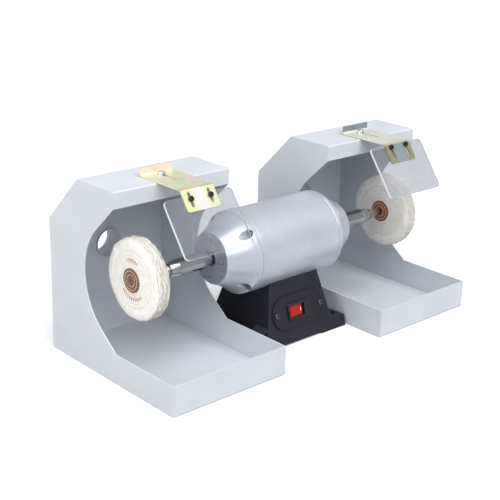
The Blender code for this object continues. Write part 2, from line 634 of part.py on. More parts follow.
def shield(side, middle):
    screw_down = SHIELD_SCREW_AT[side]
    outline = rounded_rectangle(SHIELD_WIDTH, SHIELD_HEIGHT, SHIELD_CORNER)
    hole_y = SHIELD_HEIGHT / 2 - SHIELD_HOLE_DROP
    holes = [circle(0.0023, COARSE, (x, hole_y)) for x in (-SLOT_X, SLOT_X)]
    out = -BRACKET_SHEET - GAP - SHIELD_SHEET / 2
    spot = on_flange(middle, screw_down - SHIELD_HOLE_DROP + SHIELD_HEIGHT / 2, out)
    slab(side + "_shield", [outline, *holes], SHIELD_SHEET, "acrylic", spot, FLANGE_ROTATION)
    profile = [(0.0015, 0), (0.0015, 0.0015), (0.0030, 0.0015), (0.0030, 0.0030), (0.0026, 0.0035),
               (GAP, 0.0035), (GAP, 0.0019), (-0.0075, 0.0019), (-0.0075, 0)]
    for number, sign in enumerate((-1, 1), 1):
        turned(f"{side}_shield_screw_{number}", profile, "black_screw",
               on_flange(middle + sign * SLOT_X, screw_down, 0), FLANGE_ROTATION, sides=COARSE)


# ---------------------------------------------------------------- the whole set
clear_scene()
parts = new_collection("bench_polishing_motor")
cutters = new_collection("cutters")
motor_castings()
stator_and_windings()
rotor_and_shaft()
bearings()
base()
switch()
cord_gland()
spindles()
buffs()
for hood_side in SIDES:
    hood(hood_side)
print(len(parts.objects), "pieces")
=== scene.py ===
# %% [markdown]
# # A bench polishing motor between two dust hoods
#
# The machine is a silver electric motor on a black cast base. A tapered spindle slides over each
# end of its shaft and carries a sewn cotton buff. Each buff runs inside a sheet-metal hood that
# catches the dust, and on each hood's roof a plated bracket holds a clear eye shield.
#
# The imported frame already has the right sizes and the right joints. This lesson keeps the frame
# where it is and builds the surfaces that people see around it: round things are turned, sheet
# things are folded, and every finish is a small network of nodes.

import math
import random

import bmesh
import bpy
from mathutils import Matrix, Quaternion, Vector, noise


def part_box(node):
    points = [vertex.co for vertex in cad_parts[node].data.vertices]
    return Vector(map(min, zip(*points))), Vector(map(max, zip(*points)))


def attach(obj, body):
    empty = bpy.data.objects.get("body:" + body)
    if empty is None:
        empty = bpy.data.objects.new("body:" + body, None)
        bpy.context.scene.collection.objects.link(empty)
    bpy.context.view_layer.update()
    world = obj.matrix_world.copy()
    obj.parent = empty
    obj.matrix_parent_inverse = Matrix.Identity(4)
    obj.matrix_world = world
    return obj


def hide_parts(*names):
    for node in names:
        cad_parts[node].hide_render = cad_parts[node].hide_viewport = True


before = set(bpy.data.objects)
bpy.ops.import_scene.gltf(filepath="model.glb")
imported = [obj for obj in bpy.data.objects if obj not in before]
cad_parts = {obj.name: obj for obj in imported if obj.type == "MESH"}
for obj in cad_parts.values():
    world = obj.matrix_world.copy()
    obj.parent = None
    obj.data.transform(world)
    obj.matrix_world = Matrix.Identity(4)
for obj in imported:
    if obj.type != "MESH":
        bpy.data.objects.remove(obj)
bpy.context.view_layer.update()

# %% Where the shaft runs, the two sides, and the small distances used all through
SIDES = {"left": -1, "right": 1}
shaft_low, shaft_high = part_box("motor_shaft")
AXIS = (shaft_low + shaft_high) / 2
FULL_TURN = 2 * math.pi
MM = 0.001
GAP = 0.3 * MM
WELD = 0.001 * MM
print("shaft axis at y", round(AXIS.y, 4), "z", round(AXIS.z, 4))

# %% [markdown]
# ## A small kit for building shapes
#
# Most of this machine is either turned on a lathe or cut from sheet. Two helpers cover both.
# `turned` draws half of a cross section and spins it round the Z axis, which is just what a lathe
# does. `plate` fills a flat outline and gives it thickness, as a punched blank has. A real edge
# is never perfectly sharp, so `eased` rounds the corners of an outline and `soften` bevels the
# edges of a solid. Those narrow bevels catch the light, and a model without them looks like paper.

# %% Rounding the corners of an outline
def arc(centre, radius, start, end, steps):
    """Points on an arc, its angles in degrees."""
    angles = [math.radians(start + (end - start) * i / steps) for i in range(steps + 1)]
    return [(centre[0] + radius * math.cos(a), centre[1] + radius * math.sin(a)) for a in angles]


def eased(points, radius, steps=5, closed=False):
    """The same outline with an arc at each corner. A list of radii gives each corner its own."""
    radii = radius if isinstance(radius, (list, tuple)) else [radius] * len(points)
    result = []
    for i, (point, corner_radius) in enumerate(zip(points, radii)):
        here = Vector(point)
        end_point = not closed and i in (0, len(points) - 1)
        before = Vector(points[i - 1]) - here
        after = Vector(points[(i + 1) % len(points)]) - here
        if end_point or corner_radius == 0 or before.angle(after) > math.radians(179):
            result.append(tuple(here))
            continue
        half = before.angle(after) / 2
        reach = min(corner_radius / math.tan(half), before.length * 0.49, after.length * 0.49)
        start = here + before.normalized() * reach
        end = here + after.normalized() * reach
        middle = here + (before.normalized() + after.normalized()).normalized() * (
            reach / math.cos(half))
        first, last = start - middle, end - middle
        sweep = math.atan2(first.x * last.y - first.y * last.x, first.dot(last))
        for step in range(steps + 1):
            turn = Matrix.Rotation(sweep * step / steps, 2)
            result.append(tuple(middle + turn @ first))
    return result


def circle(radius, sides, centre=(0, 0)):
    return arc(centre, radius, 0, 360, sides)[:-1]


def stadium(length, width, steps=12, centre=(0, 0)):
    """A slot's outline: two straight sides and two round ends."""
    reach, radius = (length - width) / 2, width / 2
    return (arc((centre[0] + reach, centre[1]), radius, -90, 90, steps)
            + arc((centre[0] - reach, centre[1]), radius, 90, 270, steps))


print("a square with eased corners has", len(eased([(0, 0), (1, 0), (1, 1), (0, 1)], 0.1, 5, True)),
      "points")

# %% Turning a profile
def turned(profile, steps=96, closed=False):
    """Spin (height, radius) points once round the Z axis, as a lathe would."""
    shape = bmesh.new()
    line = [shape.verts.new((radius, 0, height)) for height, radius in profile]
    pairs = list(zip(line, line[1:]))
    if closed:
        pairs.append((line[-1], line[0]))
    edges = [shape.edges.new(pair) for pair in pairs]
    bmesh.ops.spin(shape, geom=line + edges, cent=(0, 0, 0), axis=(0, 0, 1), dvec=(0, 0, 0),
                   angle=FULL_TURN, steps=steps, use_merge=True)
    bmesh.ops.remove_doubles(shape, verts=shape.verts, dist=WELD)
    bmesh.ops.recalc_face_normals(shape, faces=shape.faces)
    return shape


def rods(radius, start, end, centres=((0, 0),), sides=32):
    """Parallel round rods between two heights, used for drilling and for plain pins."""
    shape = bmesh.new()
    for x, y in centres:
        bmesh.ops.create_cone(shape, cap_ends=True, segments=sides, radius1=radius,
                              radius2=radius, depth=end - start,
                              matrix=Matrix.Translation((x, y, (start + end) / 2)))
    return shape


def block(size, centre):
    shape = bmesh.new()
    bmesh.ops.create_cube(shape, size=1,
                          matrix=Matrix.Translation(centre) @ Matrix.Diagonal((*size, 1)))
    return shape


print("a turned disc has", len(turned([(0, 0), (0, 1), (1, 1), (1, 0)], 24).faces), "faces")

# %% Filling an outline, and softening edges
def plate(outlines, thickness):
    """A flat outline in XY, the later ones holes, thickened evenly along Z."""
    curve = bpy.data.curves.new("outline", "CURVE")
    curve.dimensions = "2D"
    curve.fill_mode = "BOTH"
    curve.extrude = thickness / 2
    for outline in outlines:
        spline = curve.splines.new("POLY")
        spline.points.add(len(outline) - 1)
        for point, (x, y) in zip(spline.points, outline):
            point.co = (x, y, 0, 1)
        spline.use_cyclic_u = True
    drawn = bpy.data.objects.new("outline", curve)
    bpy.context.scene.collection.objects.link(drawn)
    shape = evaluated(drawn)
    bpy.data.curves.remove(curve)
    bmesh.ops.remove_doubles(shape, verts=shape.verts, dist=WELD)
    bmesh.ops.dissolve_limit(shape, angle_limit=math.radians(0.5), verts=shape.verts,
                             edges=shape.edges)
    bmesh.ops.recalc_face_normals(shape, faces=shape.faces)
    return shape


def evaluated(thing):
    """What an object looks like with its modifiers, as a new shape. The object is removed."""
    bpy.context.view_layer.update()
    mesh = bpy.data.meshes.new_from_object(
        thing.evaluated_get(bpy.context.evaluated_depsgraph_get()))
    shape = bmesh.new()
    shape.from_mesh(mesh)
    bpy.data.meshes.remove(mesh)
    bpy.data.objects.remove(thing)
    return shape


def soften(shape, width, segments=2, angle=30, chosen=None):
    """Bevel the edges that turn more than an angle, or only the chosen ones."""
    edges = [e for e in shape.edges
             if e.is_manifold and e.calc_face_angle(0) > math.radians(angle)
             and (chosen is None or chosen(e))]
    bmesh.ops.bevel(shape, geom=edges, offset=width, offset_type="OFFSET", segments=segments,
                    affect="EDGES", profile=0.5, material=-1, clamp_overlap=True)
    return shape


trial = soften(plate([stadium(40 * MM, 10 * MM)], 2 * MM), 0.3 * MM)
print("a softened slot-shaped plate has", len(trial.faces), "faces")
trial.free()

# %% Cutting one shape with others, and moving a shape into place
def as_object(shape, name):
    mesh = bpy.data.meshes.new(name)
    shape.to_mesh(mesh)
    shape.free()
    thing = bpy.data.objects.new(name, mesh)
    bpy.context.scene.collection.objects.link(thing)
    return thing


def less(shape, *tools):
    """The shape with each tool's volume cut away. The tools are used up."""
    work = as_object(shape, "work")
    cutters = [as_object(tool, "cutter") for tool in tools]
    for cutter in cutters:
        cut = work.modifiers.new("Cut", "BOOLEAN")
        cut.operation = "DIFFERENCE"
        cut.solver = "EXACT"
        cut.object = cutter
    result = evaluated(work)
    for cutter in cutters:
        bpy.data.objects.remove(cutter)
    return result


def moved(shape, matrix):
    bmesh.ops.transform(shape, matrix=matrix, verts=shape.verts)
    return shape


def gathered(shapes):
    """Several shapes as one. The originals are used up."""
    whole = bmesh.new()
    for shape in shapes:
        mesh = bpy.data.meshes.new("part")
        shape.to_mesh(mesh)
        shape.free()
        whole.from_mesh(mesh)
        bpy.data.meshes.remove(mesh)
    return whole


def along_shaft(side):
    """Local +Z turned out along the shaft on one side."""
    return Matrix.Translation(AXIS) @ Matrix.Rotation(SIDES[side] * math.pi / 2, 4, "Y")


print("the left side's outward direction is",
      tuple(round(v) for v in along_shaft("left").to_3x3() @ Vector((0, 0, 1))))

# %% Finishing a piece: smooth shading, its look, the body it rides on and the node it stands for
def finished(shape, name, body, look, stands_for=(), smooth_below=30):
    """Flat areas keep flat shading next to a bevel, because each face counts by its area."""
    mesh = bpy.data.meshes.new(name)
    shape.to_mesh(mesh)
    shape.free()
    mesh.shade_smooth()
    mesh.set_sharp_from_angle(angle=math.radians(smooth_below))
    mesh.materials.append(look)
    piece = bpy.data.objects.new(name, mesh)
    bpy.context.scene.collection.objects.link(piece)
    piece.modifiers.new("Even shading", "WEIGHTED_NORMAL").keep_sharp = True
    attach(piece, body)
    if stands_for:
        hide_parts(*stands_for)
    return piece


def tell(*names):
    """Print the face count and size in millimetres of each named piece."""
    for name in names:
        piece = bpy.data.objects[name]
        size = " x ".join(f"{side / MM:.1f}" for side in piece.dimensions)
        print(f"{name}: {len(piece.data.polygons)} faces, {size} mm")


def copy_of(node):
    """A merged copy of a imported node's mesh, its flat areas joined up, ready to be bevelled."""
    shape = bmesh.new()
    shape.from_mesh(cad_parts[node].data)
    bmesh.ops.remove_doubles(shape, verts=shape.verts, dist=WELD)
    bmesh.ops.dissolve_limit(shape, angle_limit=math.radians(0.3), verts=shape.verts,
                             edges=shape.edges)
    return shape


print("the packed base has", len(copy_of("base_housing").faces), "flat faces")

# %% [markdown]
# ## A small kit for finishes
#
# A finish is the Principled shader fed by a few textures. Object coordinates are in metres here,
# so a noise scale of 1000 makes grains about a millimetre across. What several finishes share
# lives in node groups: fine grain for cast and moulded surfaces, drawn lines for brushed and
# turned metal, and a thin dust that settles on whatever faces up.

# %% Adding and wiring nodes
def feed(tree, node, inputs):
    """Give a node its inputs, each a plain value or a link from another node."""
    for name, value in inputs.items():
        if isinstance(value, bpy.types.NodeSocket):
            tree.links.new(value, node.inputs[name])
        else:
            node.inputs[name].default_value = value


def add(tree, kind, inputs=None, **settings):
    """One node with its settings and its inputs."""
    made = tree.nodes.new(kind)
    for key, value in settings.items():
        setattr(made, key, value)
    feed(tree, made, inputs or {})
    return made


def sums(tree, operation, first, second=0.0, third=0.0):
    """One Math node's answer."""
    return add(tree, "ShaderNodeMath", {0: first, 1: second, 2: third},
               operation=operation).outputs[0]


def between(tree, value, low, high):
    """1 where a value lies between two numbers, 0 elsewhere."""
    return sums(tree, "MULTIPLY", sums(tree, "GREATER_THAN", value, low),
                sums(tree, "LESS_THAN", value, high))


def spread(tree, value, low=0.0, high=1.0, start=0.0, end=1.0):
    """A value that runs from start to end, made to run from low to high."""
    return add(tree, "ShaderNodeMapRange", {"Value": value, "From Min": start, "From Max": end,
                                            "To Min": low, "To Max": high}).outputs[0]


def blended(tree, amount, first, second):
    """Two colours mixed by an amount. A Mix node's colours are its sockets 6 and 7."""
    return add(tree, "ShaderNodeMix", {0: amount, 6: first, 7: second},
               data_type="RGBA").outputs[2]


def ramp(tree, value, stops):
    """A value turned into a colour by (position, colour) stops."""
    made = add(tree, "ShaderNodeValToRGB", {"Fac": value})
    elements = made.color_ramp.elements
    while len(elements) < len(stops):
        elements.new(0.5)
    for element, (position, colour) in zip(elements, stops):
        element.position = position
        element.color = (*colour, 1)
    return made.outputs["Color"]


# %% Patterns, relief, and a new look
def noisy(tree, where, scale, detail=2.0, roughness=0.5, distortion=0.0):
    """A cloudy pattern from 0 to 1."""
    return add(tree, "ShaderNodeTexNoise",
               {"Vector": where, "Scale": scale, "Detail": detail, "Roughness": roughness,
                "Distortion": distortion}).outputs["Fac"]


def striped(tree, where, scale, distortion, detail, detail_scale=1.0, **settings):
    """Stripes or rings with a little wander in them."""
    return add(tree, "ShaderNodeTexWave",
               {"Vector": where, "Scale": scale, "Distortion": distortion, "Detail": detail,
                "Detail Scale": detail_scale}, **settings).outputs["Fac"]


def raised(tree, shader, height, strength, distance):
    """Fine relief on a surface, drawn from a height."""
    relief = add(tree, "ShaderNodeBump", {"Height": height, "Strength": strength,
                                          "Distance": distance})
    feed(tree, shader, {"Normal": relief.outputs["Normal"]})


def round_shaft(tree, where):
    """A point's distance out along the shaft, its distance from the axis and its angle round it."""
    split = add(tree, "ShaderNodeSeparateXYZ", {0: where}).outputs
    across = sums(tree, "SUBTRACT", split["Y"], AXIS.y)
    above = sums(tree, "SUBTRACT", split["Z"], AXIS.z)
    squares = sums(tree, "MULTIPLY_ADD", across, across, sums(tree, "MULTIPLY", above, above))
    return (sums(tree, "ABSOLUTE", split["X"]), sums(tree, "SQRT", squares),
            sums(tree, "ARCTAN2", above, across))


def new_look(name):
    look = bpy.data.materials.new(name)
    look.use_nodes = True
    tree = look.node_tree
    shader = tree.nodes["Principled BSDF"]
    where = add(tree, "ShaderNodeTexCoord").outputs["Object"]
    return look, tree, shader, where


print("helpers for nodes are ready")

# %% The shared groups: fine grain, drawn lines and settled dust
def new_group(name, inputs, outputs):
    group = bpy.data.node_groups.new(name, "ShaderNodeTree")
    for label, kind, default in inputs:
        socket = group.interface.new_socket(label, in_out="INPUT", socket_type=kind)
        socket.default_value = default
    for label, kind in outputs:
        group.interface.new_socket(label, in_out="OUTPUT", socket_type=kind)
    return group, group.nodes.new("NodeGroupInput").outputs, group.nodes.new("NodeGroupOutput").inputs


def placed(tree, group, inputs):
    """A group inside a material, with this material's own values."""
    return add(tree, "ShaderNodeGroup", inputs, node_tree=group).outputs


PLACE, NUMBER = "NodeSocketVector", "NodeSocketFloat"
grain, given, answer = new_group(
    "Fine grain", [("Where", PLACE, (0, 0, 0)), ("Scale", NUMBER, 900.0)],
    [("Height", NUMBER), ("Tone", NUMBER)])
grain.links.new(noisy(grain, given["Where"], given["Scale"], 3.0, 0.6), answer["Height"])
wide_scale = sums(grain, "MULTIPLY", given["Scale"], 0.03)
grain.links.new(noisy(grain, given["Where"], wide_scale, 4.0, 0.55), answer["Tone"])

drawn_lines, given, answer = new_group(
    "Drawn lines", [("Where", PLACE, (0, 0, 0)), ("Stretch", PLACE, (1, 40, 40)),
                    ("Scale", NUMBER, 60.0)], [("Height", NUMBER), ("Tone", NUMBER)])
stretched = add(drawn_lines, "ShaderNodeVectorMath",
                {0: given["Where"], 1: given["Stretch"]}, operation="MULTIPLY").outputs[0]
lines = noisy(drawn_lines, stretched, given["Scale"], 5.0, 0.65)
patches = noisy(drawn_lines, given["Where"], 45.0, 3.0)
drawn_lines.links.new(lines, answer["Height"])
drawn_lines.links.new(sums(drawn_lines, "MULTIPLY_ADD", lines, 0.6,
                           sums(drawn_lines, "MULTIPLY", patches, 0.4)), answer["Tone"])

dust, given, answer = new_group(
    "Settled dust", [("Where", PLACE, (0, 0, 0)), ("Amount", NUMBER, 0.1)], [("Mask", NUMBER)])
facing = add(dust, "ShaderNodeSeparateXYZ",
             {0: add(dust, "ShaderNodeNewGeometry").outputs["Normal"]}).outputs["Z"]
upward = spread(dust, facing, start=0.2)
patchy = spread(dust, noisy(dust, given["Where"], 260.0, 6.0, 0.7), start=0.42, end=0.75)
dust.links.new(sums(dust, "MULTIPLY", sums(dust, "MULTIPLY", upward, patchy), given["Amount"]),
               answer["Mask"])
print("groups:", ", ".join(group.name for group in (grain, drawn_lines, dust)))

# %% A plain painted, moulded or cast finish made from those groups
DUST_COLOUR = (0.62, 0.60, 0.57, 1)
DUST_ROUGHNESS = 0.3


def two_tones(colour, vary):
    """A colour made a little darker and a little lighter."""
    return tuple(c * (1 - vary) for c in colour), tuple(min(1, c * (1 + vary)) for c in colour)


def coated(name, colour, roughness, metallic=0.0, scale=900.0, bump=0.05, vary=0.08,
           dusty=0.1, coat=0.0, specular=0.5):
    """A finish with fine grain, a slow change of tone and a little dust."""
    look, tree, shader, where = new_look(name)
    texture = placed(tree, grain, {"Where": where, "Scale": scale})
    dark, light = two_tones(colour, vary)
    tone = ramp(tree, texture["Tone"], [(0.3, dark), (0.7, light)])
    settled = placed(tree, dust, {"Where": where, "Amount": dusty})["Mask"]
    feed(tree, shader, {
        "Base Color": blended(tree, settled, tone, DUST_COLOUR),
        "Roughness": sums(tree, "MULTIPLY_ADD", settled, DUST_ROUGHNESS,
                          spread(tree, texture["Tone"], roughness - 0.05, roughness + 0.05)),
        "Metallic": metallic, "Coat Weight": coat, "Specular IOR Level": specular})
    raised(tree, shader, texture["Height"], bump, 0.2 * MM)
    return look


def drawn_metal(name, colour, roughness, stretch, scale=60.0, bump=0.05, vary=0.12):
    """Bare metal with drawn or turned lines."""
    look, tree, shader, where = new_look(name)
    texture = placed(tree, drawn_lines, {"Where": where, "Stretch": stretch, "Scale": scale})
    dark, light = two_tones(colour, vary)
    feed(tree, shader, {
        "Base Color": ramp(tree, texture["Tone"], [(0.35, dark), (0.65, light)]),
        "Roughness": spread(tree, texture["Tone"], roughness - 0.06, roughness + 0.08),
        "Metallic": 1.0})
    raised(tree, shader, texture["Height"], bump, 0.1 * MM)
    return look


black_screw = coated("black_oxide_screw", (0.030, 0.030, 0.032), 0.36, 0.7, bump=0.08, dusty=0.10)
bright_screw = drawn_metal("bright_zinc_screw", (0.66, 0.67, 0.69), 0.24, (6, 6, 1), 300.0)
print("screw finishes:", black_screw.name, bright_screw.name)

# %% [markdown]
# ## The motor casting
#
# The middle of the motor is a plain tube, and an end bell that flares from its nose closes each
# end. All three are cast in aluminium and sprayed satin silver, so they share one finish: metal,
# but broad and soft in its highlights. The flat nose of each bell is machined bare, which reads
# darker, with fine rings where the lathe tool passed. That change is painted by distance from the
# shaft, so the edge between the two finishes stays a perfect circle.

# %% The satin silver finish, with its machined nose
NOSE_RADIUS, NOSE_AT = 34.5 * MM, 113.3 * MM

casting, tree, shader, where = new_look("satin_silver_casting")
texture = placed(tree, grain, {"Where": where, "Scale": 1100.0})
out_along, from_axis, _ = round_shaft(tree, where)
nose = sums(tree, "MULTIPLY", sums(tree, "LESS_THAN", from_axis, NOSE_RADIUS - 0.7 * MM),
            sums(tree, "GREATER_THAN", out_along, NOSE_AT - 1.2 * MM))
sprayed = ramp(tree, texture["Tone"], [(0.3, (0.54, 0.57, 0.63)), (0.7, (0.60, 0.635, 0.695))])
outward = add(tree, "ShaderNodeCombineXYZ", {"X": sums(tree, "MULTIPLY", from_axis, 2600.0)})
rings = noisy(tree, outward.outputs[0], 1.0, 3.0, 0.7)
bare = ramp(tree, rings, [(0.3, (0.30, 0.32, 0.37)), (0.7, (0.46, 0.48, 0.54))])
feed(tree, shader, {
    "Base Color": blended(tree, nose, sprayed, bare),
    "Roughness": sums(tree, "MULTIPLY_ADD", nose, -0.04, spread(tree, texture["Tone"], 0.26, 0.38)),
    "Metallic": 0.5})
height = sums(tree, "MULTIPLY_ADD", sums(tree, "MULTIPLY", rings, nose), 2.0, texture["Height"])
raised(tree, shader, height, 0.05, 0.3 * MM)
print("casting finish:", casting.name)

# %% The motor body
BODY_RADIUS, BODY_BORE, BODY_HALF = 56 * MM, 46 * MM, 70 * MM
BOLT_CIRCLE = 50 * MM
BOLT_CENTRES = [(BOLT_CIRCLE * math.cos(math.radians(45 + 90 * k)),
                 BOLT_CIRCLE * math.sin(math.radians(45 + 90 * k))) for k in range(4)]

wall = eased([(BODY_HALF, BODY_BORE), (BODY_HALF, BODY_RADIUS), (-BODY_HALF, BODY_RADIUS),
              (-BODY_HALF, BODY_BORE)], [0, 0.8 * MM, 0.8 * MM, 0], 4)
finished(moved(turned(wall, 160, closed=True), along_shaft("right")), "motor_tube", "frame",
         casting, ["motor_body"])
tell("motor_tube")

# %% The end bells: a flared casting, four scalloped screw pockets, small holes in the nose
BAND_END, DOME_START_RADIUS, FLARE = 77 * MM, 55.3 * MM, 0.75
BEARING_RADIUS, BEARING_SEAT, BEARING_STOP = 17.8 * MM, 95.5 * MM, 107.5 * MM
SHAFT_HOLE, BELL_CAVITY = 10.5 * MM, 42.5 * MM
BOLT_SEAT, POCKET_RADIUS, BOLT_HOLE = 73.5 * MM, 6 * MM, 2.9 * MM
NOSE_HOLE, NOSE_HOLE_CIRCLE, NOSE_HOLE_DEPTH = 1.5 * MM, 25.5 * MM, 4 * MM


def dome_points(steps=28):
    """The flare from the nose down to the rim band."""
    points = []
    for i in range(steps + 1):
        t = 1 - i / steps
        points.append((BAND_END + 0.5 * MM + (NOSE_AT - 0.9 * MM - BAND_END) * t,
                       DOME_START_RADIUS - (DOME_START_RADIUS - NOSE_RADIUS) * t ** FLARE))
    return points


def end_bell(side):
    face = BODY_HALF + GAP
    outside = [(NOSE_AT, SHAFT_HOLE), (NOSE_AT, NOSE_RADIUS - 0.8 * MM),
               (NOSE_AT - 0.3 * MM, NOSE_RADIUS - 0.2 * MM), *dome_points(),
               (BAND_END + 0.3 * MM, DOME_START_RADIUS + 0.2 * MM),
               (BAND_END - 0.2 * MM, BODY_RADIUS - 0.1 * MM), (BAND_END - 0.6 * MM, BODY_RADIUS),
               (face + 0.8 * MM, BODY_RADIUS), (face + 0.2 * MM, BODY_RADIUS - 0.3 * MM),
               (face, BODY_RADIUS - 0.9 * MM)]
    inside = [(face, BELL_CAVITY), (84 * MM, 40.5 * MM), (92 * MM, 35 * MM),
              (BEARING_SEAT, 29 * MM), (BEARING_SEAT, BEARING_RADIUS),
              (BEARING_STOP, BEARING_RADIUS), (BEARING_STOP, SHAFT_HOLE)]
    bell = turned(outside + inside, 160, closed=True)
    pockets = rods(POCKET_RADIUS, BOLT_SEAT, 100 * MM, BOLT_CENTRES, 48)
    holes = rods(BOLT_HOLE, BODY_RADIUS, BOLT_SEAT + MM, BOLT_CENTRES, 24)
    nose_spots = [(x * NOSE_HOLE_CIRCLE, y * NOSE_HOLE_CIRCLE)
                  for x, y in ((-1, 0), (0, -1), (1, 0), (0, 1))]
    nose_holes = rods(NOSE_HOLE, NOSE_AT - NOSE_HOLE_DEPTH, NOSE_AT + MM, nose_spots, 24)
    bell = less(bell, pockets, holes, nose_holes)
    finished(moved(bell, along_shaft(side)), side + "_domed_bell", "frame", casting,
             [side + "_end_bell"], 24)


for side in SIDES:
    end_bell(side)
tell("left_domed_bell")

# %% [markdown]
# ## Screws
#
# Every screw here is a turned head with a shank, and a tool recess cut into it: a hexagon for the
# socket screws and a straight slot for the clamp screws. One function draws them all from a few
# sizes, so the small screws get the same eased rims as the large ones.

# %% A screw of any of the kinds used here
WASHER_THICK = 0.6 * MM


def screw(head_radius, head_height, shank_radius, shank_length, crown=0.3, recess="hexagon",
          recess_size=0.5, recess_depth=0.5, washer=0.0):
    """A screw standing on the XY plane, head up. Sizes of the recess are shares of the head's."""
    ease = head_height * crown
    head = eased([(head_height, 0), (head_height, head_radius),
                  (WASHER_THICK if washer else 0, head_radius)], [0, ease, 0], 6)
    flange = [(WASHER_THICK, washer), (0, washer)] if washer else []
    shank = [(0, shank_radius), (-shank_length + shank_radius * 0.4, shank_radius),
             (-shank_length, shank_radius * 0.6), (-shank_length, 0)]
    solid = turned(head + flange + shank, 40)
    floor = head_height * (1 - recess_depth)
    if recess == "hexagon":
        tool = rods(head_radius * recess_size / math.cos(math.pi / 6), floor, head_height + MM,
                    sides=6)
    else:
        tool = block((head_radius * recess_size, head_radius * 3, head_height * 2),
                     (0, 0, floor + head_height))
    return less(solid, tool)


trial = screw(4.2 * MM, 5 * MM, 2.5 * MM, 20 * MM)
print("a socket screw has", len(trial.faces), "faces")
trial.free()

# %% The four screws that hold each end bell
steel_screw = drawn_metal("dull_steel_screw", (0.34, 0.35, 0.37), 0.28, (1, 6, 6), 300.0)


def bell_screws(side):
    for number, (y, z) in enumerate(BOLT_CENTRES, 1):
        bolt = screw(4.2 * MM, 4.8 * MM, 2.5 * MM, 15.5 * MM, 0.14, "hexagon", 0.6, 0.7)
        spot = (Matrix.Translation((0, y, z)) @ along_shaft(side)
                @ Matrix.Translation((0, 0, BOLT_SEAT + GAP)))
        finished(moved(bolt, spot), f"{side}_bell_bolt_{number}", "frame", steel_screw,
                 [f"{side}_bell_screw_{number}"])


for side in SIDES:
    bell_screws(side)
tell("left_bell_bolt_1")

# %% [markdown]
# ## Shaft and spindles
#
# The polished shaft comes out of the bell, and a steel spindle slides over it and is held by a set
# screw. Past its shoulder the spindle tapers to a point with a fine thread cut in it, so a buff
# screws itself on as it turns. The spindle is one turned profile. The thread is a row of fine
# ridges along the taper: at this pitch they look the same as a true helix and stay closed.

# %% The steel finishes
shaft_steel = drawn_metal("polished_shaft", (0.56, 0.57, 0.59), 0.14, (60, 1, 1), 60.0, 0.03)
spindle_steel = drawn_metal("turned_spindle", (0.45, 0.455, 0.47), 0.15, (50, 1, 1), 60.0, 0.05, 0.2)
print("steels:", shaft_steel.name, spindle_steel.name)

# %% The shaft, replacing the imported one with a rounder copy
SHAFT_RADIUS, SHAFT_HALF = 7.2 * MM, 150 * MM
COLLAR_RADIUS, COLLAR_IN = 9.2 * MM, 90 * MM
half_shaft = [(SHAFT_HALF, 0), (SHAFT_HALF, SHAFT_RADIUS - 0.5 * MM),
              (SHAFT_HALF - 0.6 * MM, SHAFT_RADIUS), (BEARING_SEAT, SHAFT_RADIUS),
              (BEARING_SEAT, COLLAR_RADIUS), (COLLAR_IN, COLLAR_RADIUS), (COLLAR_IN, 8 * MM)]
whole_shaft = half_shaft + [(-height, radius) for height, radius in reversed(half_shaft)]
finished(moved(turned(whole_shaft, 72), along_shaft("right")), "polished_motor_shaft", "rotor",
         shaft_steel, ["motor_shaft"])
tell("polished_motor_shaft")

# %% The spindles
SLEEVE_START, SLEEVE_END, SLEEVE_RADIUS = 125 * MM, 170 * MM, 11.5 * MM
THREAD_START, THREAD_RADIUS, TIP_AT, TIP_RADIUS = 186 * MM, 8.8 * MM, 223 * MM, 0.6 * MM
SOCKET_RADIUS, SET_SCREW_AT = 7.6 * MM, 137 * MM
GRUB_RADIUS, GRUB_HOLE, GRUB_IN, GRUB_OUT = 2.1 * MM, 2.5 * MM, 7.8 * MM, 11.2 * MM


def thread_points(pitch=1.3 * MM, depth=0.18 * MM):
    """Fine ridges along the taper, from the tip back to the shoulder."""
    points = []
    count = round((TIP_AT - THREAD_START) / pitch)
    for i in range(count):
        for share, drop in ((0.0, 1.0), (0.35, 0.0), (0.65, 0.0)):
            t = (i + share) / count
            radius = TIP_RADIUS + (THREAD_RADIUS - TIP_RADIUS) * t
            points.append((TIP_AT + (THREAD_START - TIP_AT) * t,
                           radius - depth * drop * min(1, 6 * t)))
    return points


